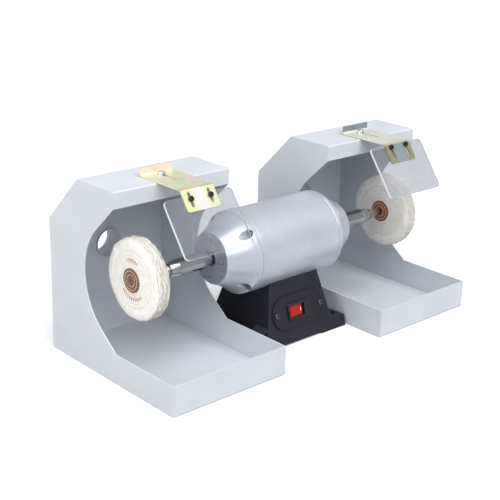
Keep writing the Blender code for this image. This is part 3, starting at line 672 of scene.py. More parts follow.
def spindle(side):
    tip = [(TIP_AT, 0), *thread_points(), (THREAD_START, THREAD_RADIUS)]
    groove = [(THREAD_START - 0.4 * MM, 8 * MM), (THREAD_START - 2 * MM, 8 * MM),
              (THREAD_START - 2.4 * MM, 9.6 * MM)]
    shoulder = [(SLEEVE_END + 7 * MM, 10.7 * MM), (SLEEVE_END + 0.4 * MM, 11.2 * MM),
                (SLEEVE_END + 0.2 * MM, SLEEVE_RADIUS - 0.4 * MM),
                (SLEEVE_END - 0.3 * MM, SLEEVE_RADIUS),
                (SLEEVE_START + 0.8 * MM, SLEEVE_RADIUS),
                (SLEEVE_START + 0.2 * MM, SLEEVE_RADIUS - 0.3 * MM),
                (SLEEVE_START, SLEEVE_RADIUS - 0.8 * MM)]
    socket = [(SLEEVE_START, SOCKET_RADIUS + 0.4 * MM), (SLEEVE_START + 0.4 * MM, SOCKET_RADIUS),
              (SHAFT_HALF + 0.6 * MM, SOCKET_RADIUS), (SHAFT_HALF + 0.6 * MM, 0)]
    solid = moved(turned(tip + groove + shoulder + socket, 96), along_shaft(side))
    towards_back = (Matrix.Translation(AXIS + Vector((SIDES[side] * SET_SCREW_AT, 0, 0)))
                    @ Matrix.Rotation(-math.pi / 2, 4, "X"))
    hole = moved(rods(GRUB_HOLE, 4 * MM, 15 * MM), towards_back)
    finished(less(solid, hole), side + "_turned_spindle", "rotor", spindle_steel,
             [side + "_spindle"])
    set_screw = turned(eased([(GRUB_OUT, 0), (GRUB_OUT, GRUB_RADIUS), (GRUB_IN, GRUB_RADIUS),
                              (GRUB_IN, 0)], [0, 0.3 * MM, 0.3 * MM, 0], 3), 32)
    set_screw = less(set_screw, rods(1.25 * MM, 9.4 * MM, 12 * MM, sides=6))
    finished(moved(set_screw, towards_back), side + "_grub_screw", "rotor", black_screw,
             [side + "_set_screw"])


for side in SIDES:
    spindle(side)
tell("left_turned_spindle", "left_grub_screw")

# %% [markdown]
# ## The cast base
#
# The base is a box whose walls lean in as they rise, with a saddle for the motor and four feet.
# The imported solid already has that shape, but its edges are perfectly sharp. A merged copy with
# every sharp edge bevelled keeps the shape and gives the edges the soft line of a casting. The
# finish is a black textured paint: dark, a little grainy, and faintly dusty on top.

# %% Black paint, black plastic and the red rocker
base_black = coated("textured_black_paint", (0.0105, 0.0105, 0.018), 0.46, scale=1500.0, bump=0.22,
                    vary=0.2, dusty=0.06, specular=0.38)
switch_black = coated("black_plastic", (0.010, 0.010, 0.012), 0.30, scale=2200.0, bump=0.05,
                      vary=0.15, dusty=0.05)
rocker_red = coated("red_plastic", (0.37, 0.009, 0.006), 0.26, scale=900.0, bump=0.02, vary=0.10,
                    dusty=0.02, specular=0.3)
print("base finishes:", base_black.name, switch_black.name, rocker_red.name)

# %% The base housing
housing = soften(copy_of("base_housing"), 0.9 * MM, 2, 25)
finished(housing, "cast_base", "frame", base_black, ["base_housing"], 40)
tell("cast_base")

# %% [markdown]
# ## The switch panel
#
# The leaning front carries an oval panel with a screw at each end and a rocker switch in its
# middle. Everything here is drawn flat, as if the panel lay on a bench, and one matrix then tilts
# it onto the face. The rocker rides on its own body, because it tips when it is pressed.

# %% A matrix for the leaning front, and one for the leaning back
BASE_HALF_Y, FACE_TAPER = 61.4 * MM, 0.25
LEAN = math.atan(FACE_TAPER)
SWITCH_Z, GLAND_Z, GLAND_X = 43 * MM, 24 * MM, 30 * MM


def on_face(sign, height, x=0.0):
    """Local +Z points out of the front face (sign -1) or the back face (sign +1)."""
    y = AXIS.y + sign * (BASE_HALF_Y - FACE_TAPER * height)
    return Matrix.Translation((x, y, height)) @ Matrix.Rotation(
        -sign * (math.pi / 2 - LEAN), 4, "X")


print("the front face leans", round(math.degrees(LEAN), 1), "degrees")

# %% The oval panel, with a shallow groove just inside its rim
PANEL_LENGTH, PANEL_WIDTH, PANEL_THICK, PANEL_SCREW_X = 94 * MM, 46 * MM, 1.8 * MM, 40.5 * MM
SWITCH_OPENING = (39.2 * MM, 22.0 * MM)


def rectangle(width, height, centre=(0, 0)):
    x, y = width / 2, height / 2
    return [(centre[0] + i * x, centre[1] + j * y) for i, j in ((1, -1), (1, 1), (-1, 1), (-1, -1))]


outline = [stadium(PANEL_LENGTH, PANEL_WIDTH, 28),
           eased(rectangle(*SWITCH_OPENING), MM, 3, True)]
outline += [circle(2.0 * MM, 24, (x, 0)) for x in (-PANEL_SCREW_X, PANEL_SCREW_X)]
panel = soften(plate(outline, PANEL_THICK), 0.5 * MM, 3, 50)
groove = plate([stadium(PANEL_LENGTH - 5 * MM, PANEL_WIDTH - 5 * MM, 28),
                stadium(PANEL_LENGTH - 6.4 * MM, PANEL_WIDTH - 6.4 * MM, 28)], 0.7 * MM)
panel = less(panel, moved(groove, Matrix.Translation((0, 0, PANEL_THICK / 2))))
lift = Matrix.Translation((0, 0, GAP + PANEL_THICK / 2))
finished(moved(panel, on_face(-1, SWITCH_Z) @ lift), "oval_panel", "frame", base_black,
         ["switch_panel"])
tell("oval_panel")

# %% The two panel screws
dark_steel = drawn_metal("dark_steel_screw", (0.15, 0.155, 0.17), 0.26, (6, 6, 6), 300.0)
panel_top = 2 * GAP + PANEL_THICK
for side, sign in SIDES.items():
    fixing = screw(3.6 * MM, 1.8 * MM, 1.7 * MM, 7 * MM, 0.4, "hexagon", 0.6, 0.8)
    spot = on_face(-1, SWITCH_Z, sign * PANEL_SCREW_X) @ Matrix.Translation((0, 0, panel_top))
    finished(moved(fixing, spot), side + "_panel_fixing", "frame", dark_steel,
             [side + "_panel_screw"])
tell("left_panel_fixing")

# %% The switch: a framed bezel with a pocket for the rocker
BEZEL, SHANK = (41.4 * MM, 24.0 * MM), (38.6 * MM, 21.4 * MM)
ROCKER_X, ROCKER_HALF, ROCKER_WIDTH, POCKET_HALF = -4.8 * MM, 12.5 * MM, 15.0 * MM, 13.5 * MM
BEZEL_THICK = 2 * MM

pocket = rectangle(2 * POCKET_HALF, ROCKER_WIDTH + MM, (ROCKER_X, 0))
frame_ring = soften(plate([eased(rectangle(*BEZEL), 2 * MM, 6, True), pocket], BEZEL_THICK),
                    0.45 * MM, 3, 50)
frame_ring = moved(frame_ring, Matrix.Translation((0, 0, panel_top + BEZEL_THICK / 2)))
sleeve_depth, floor_thick = 9 * MM, 7 * MM
sleeve = plate([rectangle(*SHANK), pocket], sleeve_depth)
sleeve = moved(sleeve, Matrix.Translation((0, 0, panel_top - sleeve_depth / 2)))
closed_end = block((*SHANK, floor_thick),
                   (0, 0, panel_top - sleeve_depth - floor_thick / 2))
switch_shape = moved(gathered([frame_ring, sleeve, closed_end]), on_face(-1, SWITCH_Z))
finished(switch_shape, "framed_switch", "frame", switch_black, ["switch_body"])
tell("framed_switch")

# %% The rocker: its side outline drawn and thickened across the switch, with a white bar that is an on mark and a painted glint
rocker_end = ROCKER_HALF - 0.2 * MM
outline = [(-rocker_end, 4.6 * MM), (-0.5 * MM, 2.4 * MM), (rocker_end, 1.2 * MM),
           (rocker_end, -MM), (10 * MM, -4 * MM), (-10 * MM, -4 * MM), (-rocker_end, -MM)]
outline = eased(outline, [0.7 * MM, 14 * MM, 0.7 * MM, 0.4 * MM, 2 * MM, 2 * MM, 0.4 * MM], 6, True)
paddle = soften(plate([outline[::-1]], ROCKER_WIDTH), 0.5 * MM, 3, 50)
upright = on_face(-1, SWITCH_Z, ROCKER_X) @ Matrix.Rotation(math.pi / 2, 4, "X")
finished(moved(paddle, upright), "red_rocker", "rocker", rocker_red,
         ["switch_rocker"], 25)
# The white bar at the rocker's right end is partly a printed on mark and partly a painted glint.
bar = soften(block((1.0 * MM, 0.5 * MM, 5.2 * MM), (8.6 * MM, 1.75 * MM, 0)), 0.12 * MM)
white_for_mark_and_glint = coated("white_mark_and_painted_glint", (0.80, 0.79, 0.76), 0.4, vary=0.04, dusty=0.05)
finished(moved(bar, upright), "rocker_on_mark_and_glint", "rocker", white_for_mark_and_glint)
tell("red_rocker", "rocker_on_mark_and_glint")

# %% The cord gland on the back: a ribbed collar with a hollow for a cord
collar = [(9 * MM, 3.6 * MM), (9 * MM, 6.0 * MM)]
for i in range(3):
    top = (8.4 - 1.5 * i) * MM
    collar += [(top, (6.6 + 0.5 * i) * MM), (top - 0.8 * MM, (6.8 + 0.5 * i) * MM),
               (top - 0.9 * MM, (6.2 + 0.5 * i) * MM), (top - 1.3 * MM, (6.3 + 0.5 * i) * MM)]
collar += [(3.4 * MM, 8.2 * MM), (3.0 * MM, 8.5 * MM), (0.6 * MM, 8.5 * MM), (GAP, 8.2 * MM),
           (GAP, 5.0 * MM), (-8 * MM, 5.0 * MM), (-8 * MM, 3.6 * MM)]
finished(moved(turned(collar, 64, closed=True), on_face(1, GLAND_Z, GLAND_X)), "ribbed_gland",
         "frame", switch_black, ["cord_gland"])
tell("ribbed_gland")

# %% [markdown]
# ## The sewn buffs
#
# A buff is a stack of cotton discs sewn together in rings. Its rim frays, and each disc ripples a
# little, so the edge is never a clean cylinder. The stack is really modelled: fourteen thin discs
# side by side, each with its own wavy edge. The two outer discs also show the rings of stitches
# as furrows with small puckers across them, and the finish darkens the same rings a little as
# painted shade.
# Last come short loose threads at the rim.

# %% The cotton finish
BUFF_IN, BUFF_OUT, BUFF_RADIUS = 217 * MM, 238 * MM, 50.3 * MM
ROW_START, ROW_PITCH = 20 * MM, 5.5 * MM
SEWN_END, RIM_START, RIM_END = 39 * MM, 43 * MM, 49 * MM

cotton, tree, shader, where = new_look("sewn_cotton")
out_along, radius, angle = round_shaft(tree, where)
fuzz = noisy(tree, where, 1400.0, 4.0, 0.7)
cloth = ramp(tree, noisy(tree, where, 130.0, 5.0, 0.6),
             [(0.32, (0.80, 0.765, 0.70)), (0.55, (0.90, 0.875, 0.83)),
              (0.72, (0.94, 0.925, 0.895))])
cloth = blended(tree, sums(tree, "MULTIPLY", fuzz, 0.22), cloth, (0.70, 0.65, 0.57, 1))
# Painted shade: the cloth colour is darkened in rings along the stitch rows, as if shade fell in the
# furrows.
row = sums(tree, "FRACT", sums(tree, "MULTIPLY_ADD", radius, 1 / ROW_PITCH,
                               0.5 - ROW_START / ROW_PITCH))
off_row = sums(tree, "ABSOLUTE", sums(tree, "SUBTRACT", row, 0.5))
furrow_painted_shade = sums(tree, "MULTIPLY", spread(tree, off_row, 0.38, 0.0, 0.05, 0.40),
                 between(tree, radius, ROW_START - ROW_PITCH / 2, SEWN_END))
cloth = blended(tree, furrow_painted_shade, cloth, (0.66, 0.60, 0.52, 1))
weave = sums(tree, "MULTIPLY", striped(tree, where, 420.0, 1.5, 2.0, bands_direction="Y"),
             striped(tree, where, 420.0, 1.5, 2.0, bands_direction="Z"))
near_rim = spread(tree, radius, start=RIM_START, end=RIM_END)
layers = striped(tree, where, 330.0, 3.0, 2.0, 2.0, bands_direction="X")
height = sums(tree, "MULTIPLY_ADD", weave, 0.35, fuzz)
height = sums(tree, "MULTIPLY_ADD", sums(tree, "MULTIPLY", layers, near_rim), 0.9, height)
raised(tree, shader, height, 0.5, 0.6 * MM)
feed(tree, shader, {"Roughness": spread(tree, fuzz, 0.88, 1.0), "Sheen Weight": 0.35,
                    "Sheen Roughness": 0.5, "Specular IOR Level": 0.15})
print("cotton finish:", cotton.name)

# %% Red printed ticks in two arcs on the outer face, painted by angle and distance from the shaft
PRINT_RED = (0.42, 0.012, 0.025, 1)
UPPER_ARC, UPPER_TICKS, UPPER_BAND = math.radians(24), 5, (22.5 * MM, 28.3 * MM)
LOWER_ARC, LOWER_TICKS, LOWER_BAND = math.radians(48), 11, (22.2 * MM, 27.2 * MM)


def tick_arc(tree, middle_angle, half_width, ticks, band):
    """A row of short printed ticks, evenly spaced along an arc round the shaft."""
    turned_by = sums(tree, "SUBTRACT", angle, middle_angle)
    inside = sums(tree, "LESS_THAN", sums(tree, "ABSOLUTE", turned_by), half_width)
    phase = sums(tree, "FRACT", sums(tree, "MULTIPLY", turned_by, ticks / (2 * half_width)))
    stroke = sums(tree, "MULTIPLY", inside, between(tree, phase, 0.25, 0.72))
    return sums(tree, "MULTIPLY", stroke, between(tree, radius, *band))


upper = tick_arc(tree, math.pi / 2, UPPER_ARC, UPPER_TICKS, UPPER_BAND)
lower = tick_arc(tree, -math.pi / 2, LOWER_ARC, LOWER_TICKS, LOWER_BAND)
outer_face = sums(tree, "GREATER_THAN", out_along, BUFF_OUT - MM)
worn = spread(tree, fuzz, 1.0, 0.7, 0.35, 0.6)
printed = sums(tree, "MULTIPLY", sums(tree, "MAXIMUM", upper, lower),
               sums(tree, "MULTIPLY", outer_face, worn))
feed(tree, shader, {"Base Color": blended(tree, printed, cloth, PRINT_RED)})
print("printed ticks:", UPPER_TICKS, "above and", LOWER_TICKS, "below the centre")

# %% The shape of one cotton disc
PLIES = 14
PITCH = (BUFF_OUT - BUFF_IN) / PLIES
STITCH_ROWS = [ROW_START + ROW_PITCH * k for k in range(4)]
FURROW_WIDTH, PUCKERS = 1.1 * MM, 54


def ripple(angle, layer, fineness, seed):
    """A smooth random wave round the rim, from about -1 to 1, alike on neighbouring discs."""
    return noise.noise(Vector((math.cos(angle) * fineness, math.sin(angle) * fineness,
                               layer * 0.55 + seed))) * 1.8


def ply_profile(layer):
    """(height, radius) points round one disc's section. The outer ones go in to the centre."""
    low, high = BUFF_IN + PITCH * layer, BUFF_IN + PITCH * (layer + 1)
    share = 2 * (layer + 0.5) / PLIES - 1
    rim = BUFF_RADIUS + 1.5 * MM - 2.2 * MM * share ** 4
    thin = 0.12 * MM
    radii = [3.2 * MM] + [r * MM for r in range(8, 45)] if layer in (0, PLIES - 1) else [40 * MM]
    up = [(high - thin, r) for r in reversed(radii)]
    down = [(low + thin, r) for r in radii]
    edge = [(low + thin, rim - 2.5 * MM), (low + thin * 1.5, rim - 0.6 * MM),
            ((low + high) / 2, rim), (high - thin * 1.5, rim - 0.6 * MM),
            (high - thin, rim - 2.5 * MM)]
    return down + edge + up


def sewn(shape, layer, seed):
    """Ripple a disc, and press its rings of stitches in."""
    outer = layer in (0, PLIES - 1)
    facing = 1 if layer else -1
    for vert in shape.verts:
        distance = math.hypot(vert.co.x, vert.co.y)
        angle = math.atan2(vert.co.y, vert.co.x)
        share = distance / BUFF_RADIUS
        wave = ripple(angle, layer, 3.2, seed) * 0.55 + ripple(angle, layer, 9.0, seed + 5) * 0.35
        vert.co.z += wave * 0.75 * MM * share ** 4
        longer = (ripple(angle, layer * 2.3, 2.2, seed + 9) + 0.8 * ripple(angle, layer * 4, 14, seed)
                  + 0.7 * ripple(angle, layer * 6, 26, seed + 2))
        stretch = 1 + longer * 0.020 * max(0, share - 0.8) / 0.2
        vert.co.x *= stretch
        vert.co.y *= stretch
        if outer:
            furrow = sum(math.exp(-((distance - row) / FURROW_WIDTH) ** 2) for row in STITCH_ROWS)
            pucker = 0.5 + 0.5 * math.cos(angle * PUCKERS + distance * 900)
            lumps = noise.noise(Vector((vert.co.x, vert.co.y, seed * 0.1)) * 160)
            vert.co.z -= facing * (furrow * (0.42 + 0.26 * pucker) + 0.22 * abs(lumps)) * MM
            vert.co.z -= facing * 1.3 * MM * max(0, share - 0.86) ** 2 / 0.02


print("each disc is", round(PITCH / MM, 2), "mm thick")

# %% Both buffs, with loose threads at their rims
dice = random.Random(11)
THREADS_PER_BUFF, THREAD_ROOT, THREAD_END = 1500, 0.10 * MM, 0.03 * MM
BUFF_SEEDS = {"left": 3.7, "right": 8.1}


def loose_threads(count):
    """Thin tapered threads standing off the rim, each a cone with three sides."""
    whole = bmesh.new()
    for _ in range(count):
        angle = dice.uniform(0, FULL_TURN)
        height = dice.uniform(BUFF_IN + 1.2 * MM, BUFF_OUT - 1.2 * MM)
        share = 2 * (height - BUFF_IN) / (BUFF_OUT - BUFF_IN) - 1
        rim = BUFF_RADIUS + 0.4 * MM - 2.2 * MM * share ** 4
        length = dice.uniform(1.5, 2.9) * MM
        lean = (Matrix.Rotation(dice.uniform(-0.9, 0.9), 4, "X")
                @ Matrix.Rotation(dice.uniform(-0.9, 0.9), 4, "Z"))
        spot = (Matrix.Rotation(angle, 4, "Z") @ Matrix.Translation((rim, 0, height))
                @ lean @ Matrix.Rotation(math.pi / 2, 4, "Y")
                @ Matrix.Translation((0, 0, length / 2)))
        bmesh.ops.create_cone(whole, cap_ends=True, segments=3, radius1=THREAD_ROOT,
                              radius2=THREAD_END, depth=length, matrix=spot)
    return whole


def buff(side):
    discs = []
    for layer in range(PLIES):
        disc = turned(ply_profile(layer), 180, closed=True)
        sewn(disc, layer, BUFF_SEEDS[side])
        discs.append(disc)
    finished(moved(gathered(discs), along_shaft(side)), side + "_sewn_buff", "rotor", cotton,
             [side + "_buff"], 60)
    finished(moved(loose_threads(THREADS_PER_BUFF), along_shaft(side)), side + "_loose_threads",
             "rotor", cotton)


for side in SIDES:
    buff(side)
tell("left_sewn_buff", "left_loose_threads")

# %% [markdown]
# ## The leather washers
#
# A leather disc sewn to each face keeps the spindle's point from tearing the cotton. White thread
# goes round it in a ring of small stitches, with a second, slanted row inside. The leather needs
# a grain of small cells, darker in the creases as painted shade, and a slightly raised, eased edge.

# %% The leather and thread finishes
def leather_look(name, dark, light):
    look, tree, shader, where = new_look(name)
    cells = add(tree, "ShaderNodeTexVoronoi", {"Vector": where, "Scale": 1400.0,
                                               "Randomness": 1.0}).outputs["Distance"]
    fibres = noisy(tree, where, 420.0, 6.0, 0.65)
    # Painted shade: the tone follows the cells that also give the bump, so the low creases are
    # darker.
    tone = sums(tree, "MULTIPLY_ADD", cells, 0.35, sums(tree, "MULTIPLY", fibres, 0.7))
    feed(tree, shader, {"Base Color": ramp(tree, tone, [(0.3, dark), (0.65, light)]),
                        "Roughness": spread(tree, fibres, 0.5, 0.75)})
    raised(tree, shader, cells, 0.35, 0.3 * MM)
    return look


leathers = {"left": leather_look("tan_leather", (0.13, 0.050, 0.026), (0.25, 0.105, 0.055)),
            "right": leather_look("red_brown_leather", (0.14, 0.040, 0.018), (0.26, 0.085, 0.040))}
thread_white = coated("white_thread", (0.80, 0.76, 0.68), 0.85, scale=2500.0, bump=0.3, dusty=0.0,
                      specular=0.2)
print("leather finishes:", ", ".join(look.name for look in leathers.values()))

# %% The discs and their stitches
DISC_RADIUS, DISC_THICK = 15.5 * MM, 1.5 * MM
DISC_LOW = {"inner": BUFF_IN - GAP - DISC_THICK, "outer": BUFF_OUT + GAP}
DISC_BORE = {"inner": 3.6 * MM, "outer": 1.2 * MM}


def stitches(count, ring, length, slant, height):
    """Small thread bars lying in a ring, each a stretched ball with few faces."""
    whole = bmesh.new()
    for k in range(count):
        spot = (Matrix.Rotation(FULL_TURN * k / count, 4, "Z")
                @ Matrix.Translation((ring, 0, height)) @ Matrix.Rotation(slant, 4, "Z")
                @ Matrix.Diagonal((0.50 * MM, length / 2, 0.34 * MM, 1)))
        bmesh.ops.create_uvsphere(whole, u_segments=8, v_segments=6, radius=1, matrix=spot)
    return whole


def leather_disc(side, face):
    low = DISC_LOW[face]
    high = low + DISC_THICK
    section = eased([(low, DISC_BORE[face]), (low, DISC_RADIUS), (high, DISC_RADIUS),
                     (high, DISC_BORE[face])], [0.2 * MM, 0.45 * MM, 0.45 * MM, 0.3 * MM], 4, True)
    washer = turned(section, 72, closed=True)
    for vert in washer.verts:
        distance = math.hypot(vert.co.x, vert.co.y)
        vert.co.z += 0.05 * MM * math.sin(distance / DISC_RADIUS * 9)
    finished(moved(washer, along_shaft(side)), f"{side}_{face}_leather", "rotor", leathers[side],
             [f"{side}_buff_{face}_disc"])
    surface = high if face == "outer" else low
    sewing = gathered([stitches(22, 12.2 * MM, 2.5 * MM, 0, surface),
                       stitches(14, 7.6 * MM, 2.0 * MM, 0.9, surface)])
    finished(moved(sewing, along_shaft(side)), f"{side}_{face}_stitches", "rotor", thread_white)


for side in SIDES:
    for face in DISC_LOW:
        leather_disc(side, face)
tell("left_outer_leather", "left_outer_stitches")

# %% [markdown]
# ## The dust hoods
#
# Each hood is welded up from three pieces of steel sheet. One long strip is folded into the front
# lip, the floor, the back, the slope and the roof, and a cheek closes each side, with a C-shaped
# mouth cut in it for the buff. Drawing the strip's section once, with a small radius at every
# fold, gives the slightly soft corners of folded sheet. A powder coat covers everything, inside
# and out: it is matt, very even, and shows a faint orange-peel texture close up.

# %% The powder coat
hood_paint, tree, shader, where = new_look("grey_powder_coat")
texture = placed(tree, grain, {"Where": where, "Scale": 650.0})
tone = ramp(tree, texture["Tone"], [(0.3, (0.555, 0.580, 0.620)), (0.7, (0.595, 0.620, 0.658))])
flecks = spread(tree, noisy(tree, where, 2600.0, 1.0), 0.0, 0.12)
tone = blended(tree, flecks, tone, (0.48, 0.51, 0.55, 1))
settled = placed(tree, dust, {"Where": where, "Amount": 0.10})["Mask"]
feed(tree, shader, {"Base Color": blended(tree, settled, tone, (0.72, 0.71, 0.69, 1)),
                    "Roughness": sums(tree, "MULTIPLY_ADD", settled, DUST_ROUGHNESS,
                                      spread(tree, texture["Tone"], 0.42, 0.54))})
raised(tree, shader, texture["Height"], 0.10, 0.4 * MM)
print("hood finish:", hood_paint.name)

# %% The hood's section and its cheek, drawn as (distance back, height)
HOOD_FRONT_Y, HOOD_IN, HOOD_OUT = -142 * MM, 90 * MM, 270 * MM
HOOD_DEPTH, HOOD_HEIGHT, LIP_HEIGHT, SHEET = 254 * MM, 246 * MM, 40 * MM, 1.4 * MM
BACK_TOP, ROOF_BACK, ROOF_FRONT, ROOF_FLANGE = 180 * MM, 188 * MM, 114.5 * MM, 21 * MM
FOLD = 2.0 * MM
MOUTH_CENTRE, MOUTH_RADIUS, MOUTH_START, MOUTH_END = (92 * MM, 130 * MM), 84.5 * MM, 43, -55
MOUTH_FOOT = 112.5 * MM
STANDING = Matrix.Rotation(math.pi / 2, 4, "Z") @ Matrix.Rotation(math.pi / 2, 4, "X")


def strip(path, thickness):
    """Outline of a folded sheet: a path along one face, offset to its left by the thickness."""
    return list(path) + [(point[0] + side[0] * thickness, point[1] + side[1] * thickness)
                         for point, side in reversed(list(zip(path, left_of(path))))]


def left_of(path):
    """For each point of a path, the offset that keeps one unit of thickness on its left."""
    points = [Vector(p) for p in path]
    across = []
    for start, end in zip(points, points[1:]):
        along = (end - start).normalized()
        across.append(Vector((-along.y, along.x)))
    result = [across[0]]
    for before, after in zip(across, across[1:]):
        mitre = (before + after).normalized()
        result.append(mitre / mitre.dot(before))
    return result + [across[-1]]


hood_path = eased([(0, LIP_HEIGHT), (0, 0), (HOOD_DEPTH, 0), (HOOD_DEPTH, BACK_TOP),
                   (ROOF_BACK, HOOD_HEIGHT), (ROOF_FRONT, HOOD_HEIGHT),
                   (ROOF_FRONT, HOOD_HEIGHT - ROOF_FLANGE)], FOLD, 6)
mouth = arc(MOUTH_CENTRE, MOUTH_RADIUS, MOUTH_START, MOUTH_END, 64)
cheek_corners = [(0, 0), (HOOD_DEPTH, 0), (HOOD_DEPTH, BACK_TOP), (ROOF_BACK, HOOD_HEIGHT),
                 (ROOF_FRONT, HOOD_HEIGHT), (ROOF_FRONT, HOOD_HEIGHT - ROOF_FLANGE), *mouth,
                 (MOUTH_FOOT, LIP_HEIGHT), (0, LIP_HEIGHT)]
cheek_radii = [FOLD] * 5 + [MM] + [0] * len(mouth) + [2 * MM, MM]
cheek_outline = eased(cheek_corners, cheek_radii, 6, True)
print("the folded strip has", len(hood_path), "points and the cheek", len(cheek_outline))

# %% Both hoods: the folded strip, two cheeks and the dust port's tube
SPIGOT_RADIUS, SPIGOT_WALL, SPIGOT_LENGTH = 20 * MM, 1.2 * MM, 30 * MM
BRACKET_SCREW_BACK, ROOF_HOLE_RADIUS = 138 * MM, 2.4 * MM
TO_BACK = Matrix.Rotation(-math.pi / 2, 4, "X")


def hood(side):
    sign = SIDES[side]
    middle = sign * (HOOD_IN + HOOD_OUT) / 2
    width = HOOD_OUT - HOOD_IN - 2 * SHEET
    into_place = Matrix.Translation((middle, HOOD_FRONT_Y, 0)) @ STANDING
    shell = soften(plate([strip(hood_path, SHEET)], width), 0.25 * MM, 2, 50)
    shell = moved(shell, into_place)
    back = Matrix.Translation((middle, HOOD_FRONT_Y + HOOD_DEPTH, AXIS.z)) @ TO_BACK
    port = moved(rods(SPIGOT_RADIUS + GAP, -10 * MM, 10 * MM, sides=72), back)
    roof = Matrix.Translation((middle, HOOD_FRONT_Y + BRACKET_SCREW_BACK, HOOD_HEIGHT))
    screw_hole = moved(rods(ROOF_HOLE_RADIUS, -5 * MM, 5 * MM, sides=24), roof)
    finished(less(shell, port, screw_hole), side + "_folded_hood", "frame", hood_paint,
             [side + "_hood_wrapper"])
    for face, reach in (("inner", HOOD_IN + SHEET / 2), ("outer", HOOD_OUT - SHEET / 2)):
        cheek = soften(plate([cheek_outline], SHEET), 0.4 * MM, 3, 50)
        spot = Matrix.Translation((sign * reach, HOOD_FRONT_Y, 0)) @ STANDING
        finished(moved(cheek, spot), f"{side}_{face}_cheek", "frame", hood_paint,
                 [f"{side}_hood_{face}_cheek"])
    bore = SPIGOT_RADIUS - SPIGOT_WALL
    tube = [(SPIGOT_LENGTH, bore + 0.2 * MM), (SPIGOT_LENGTH, SPIGOT_RADIUS - 0.2 * MM),
            (SPIGOT_LENGTH - 0.4 * MM, SPIGOT_RADIUS)]
    tube += arc((25 * MM, SPIGOT_RADIUS - 0.2 * MM), 1.2 * MM, 10, 170, 8)
    tube += [(1.6 * MM, SPIGOT_RADIUS), (1.2 * MM, SPIGOT_RADIUS + 2.4 * MM),
             (0.9 * MM, SPIGOT_RADIUS + 2.8 * MM), (GAP, SPIGOT_RADIUS + 2.8 * MM),
             (GAP, SPIGOT_RADIUS), (-3.5 * MM, SPIGOT_RADIUS), (-3.5 * MM, bore),
             (23.6 * MM, bore)]
    finished(moved(turned(tube, 96, closed=True), back), side + "_dust_port", "frame",
             hood_paint, [side + "_hood_spigot"])


for side in SIDES:
    hood(side)
tell("left_folded_hood", "left_outer_cheek", "left_dust_port")

# %% [markdown]
# ## The guard brackets
#
# Each bracket starts as a flat blank with rounded corners, a long slot for the clamp screw and
# two short slots for the shield. It is then folded twice in a press. The script does the same:
# it draws the blank flat, cuts lines across it where the folds will be, and rolls the sheet along
# a path with a radius at each fold. Slots and corners stay true, as they do in real sheet.

# %% The yellow passivated zinc, with its drifting rainbow tint
BRACKET_SHEET, BRACKET_BACK, BRACKET_BEND = 2 * MM, 150 * MM, 71 * MM
BRACKET_TOP = HOOD_HEIGHT + GAP + BRACKET_SHEET
BEND_BROWN = (0.30, 0.20, 0.08, 1)


def zinc_look(name, middle, plate_stops, flange_side, flange_middle, lip_tint):
    look, tree, shader, where = new_look(name)
    texture = placed(tree, drawn_lines, {"Where": where, "Stretch": (1, 8, 8), "Scale": 220.0})
    drift = noisy(tree, where, 62.0, 3.0, 0.55, 1.2)
    tint = ramp(tree, drift, plate_stops)
    split = add(tree, "ShaderNodeSeparateXYZ", {0: where}).outputs
    below = spread(tree, split["Z"], start=BRACKET_TOP - 0.8 * MM, end=BRACKET_TOP - 2.2 * MM)
    on_lip = spread(tree, split["Z"], start=BRACKET_TOP + 0.8 * MM, end=BRACKET_TOP + 2.4 * MM)
    off_centre = sums(tree, "ABSOLUTE", sums(tree, "SUBTRACT", split["X"], middle))
    wander = sums(tree, "MULTIPLY_ADD", drift, 6 * MM, sums(tree, "SUBTRACT", off_centre, 3 * MM))
    sides = spread(tree, wander, start=7.5 * MM, end=10.5 * MM)
    flange = blended(tree, sides, flange_middle, flange_side)
    flange = blended(tree, 0.15, flange, tint)
    colour = blended(tree, below, tint, flange)
    colour = blended(tree, sums(tree, "MULTIPLY", on_lip, 0.9), colour, lip_tint)
    from_bend = sums(tree, "ABSOLUTE", sums(tree, "SUBTRACT", split["Z"], BRACKET_TOP - 0.7 * MM))
    bend = spread(tree, from_bend, start=0.9 * MM, end=0.2 * MM)
    front = sums(tree, "LESS_THAN", split["Y"], HOOD_FRONT_Y + BRACKET_BEND + 4 * MM)
    bend = sums(tree, "MULTIPLY", sums(tree, "MULTIPLY", bend, front), 0.55)
    feed(tree, shader, {"Base Color": blended(tree, bend, colour, BEND_BROWN),
                        "Roughness": spread(tree, texture["Tone"], 0.26, 0.42),
                        "Metallic": 0.55})
    raised(tree, shader, texture["Height"], 0.05, 0.2 * MM)
    return look


middles = {side: SIDES[side] * (HOOD_IN + HOOD_OUT) / 2 for side in SIDES}
zincs = {
    "left": zinc_look("rainbow_zinc", middles["left"],
                      [(0.30, (0.62, 0.76, 0.86)), (0.42, (0.74, 0.84, 0.60)),
                       (0.52, (0.88, 0.84, 0.52)), (0.62, (0.95, 0.78, 0.66)),
                       (0.72, (0.86, 0.78, 0.84))],
                      (0.72, 0.74, 0.42, 1), (0.88, 0.75, 0.72, 1), (0.92, 0.73, 0.68, 1)),
    "right": zinc_look("dull_zinc", middles["right"],
                       [(0.32, (0.80, 0.84, 0.82)), (0.50, (0.90, 0.88, 0.76)),
                        (0.66, (0.96, 0.92, 0.80))],
                       (0.24, 0.22, 0.11, 1), (0.22, 0.27, 0.34, 1), (0.19, 0.23, 0.29, 1))}
print("bracket finishes:", ", ".join(look.name for look in zincs.values()))

# %% Folding a flat blank along a path
FLANGE_LENGTH, FLANGE_TILT, BRACKET_LIP = 29.5 * MM, math.radians(36), 9.5 * MM
BRACKET_WIDTH, BRACKET_SLOT, LONG_SLOT_WIDTH = 50 * MM, (104.5 * MM, 141.5 * MM), 5.4 * MM
FLANGE_SLOT, SLOT_X, SLOT_WIDTH = (4.3 * MM, 24.5 * MM), 15 * MM, 4.4 * MM
HAIR = WELD / 10

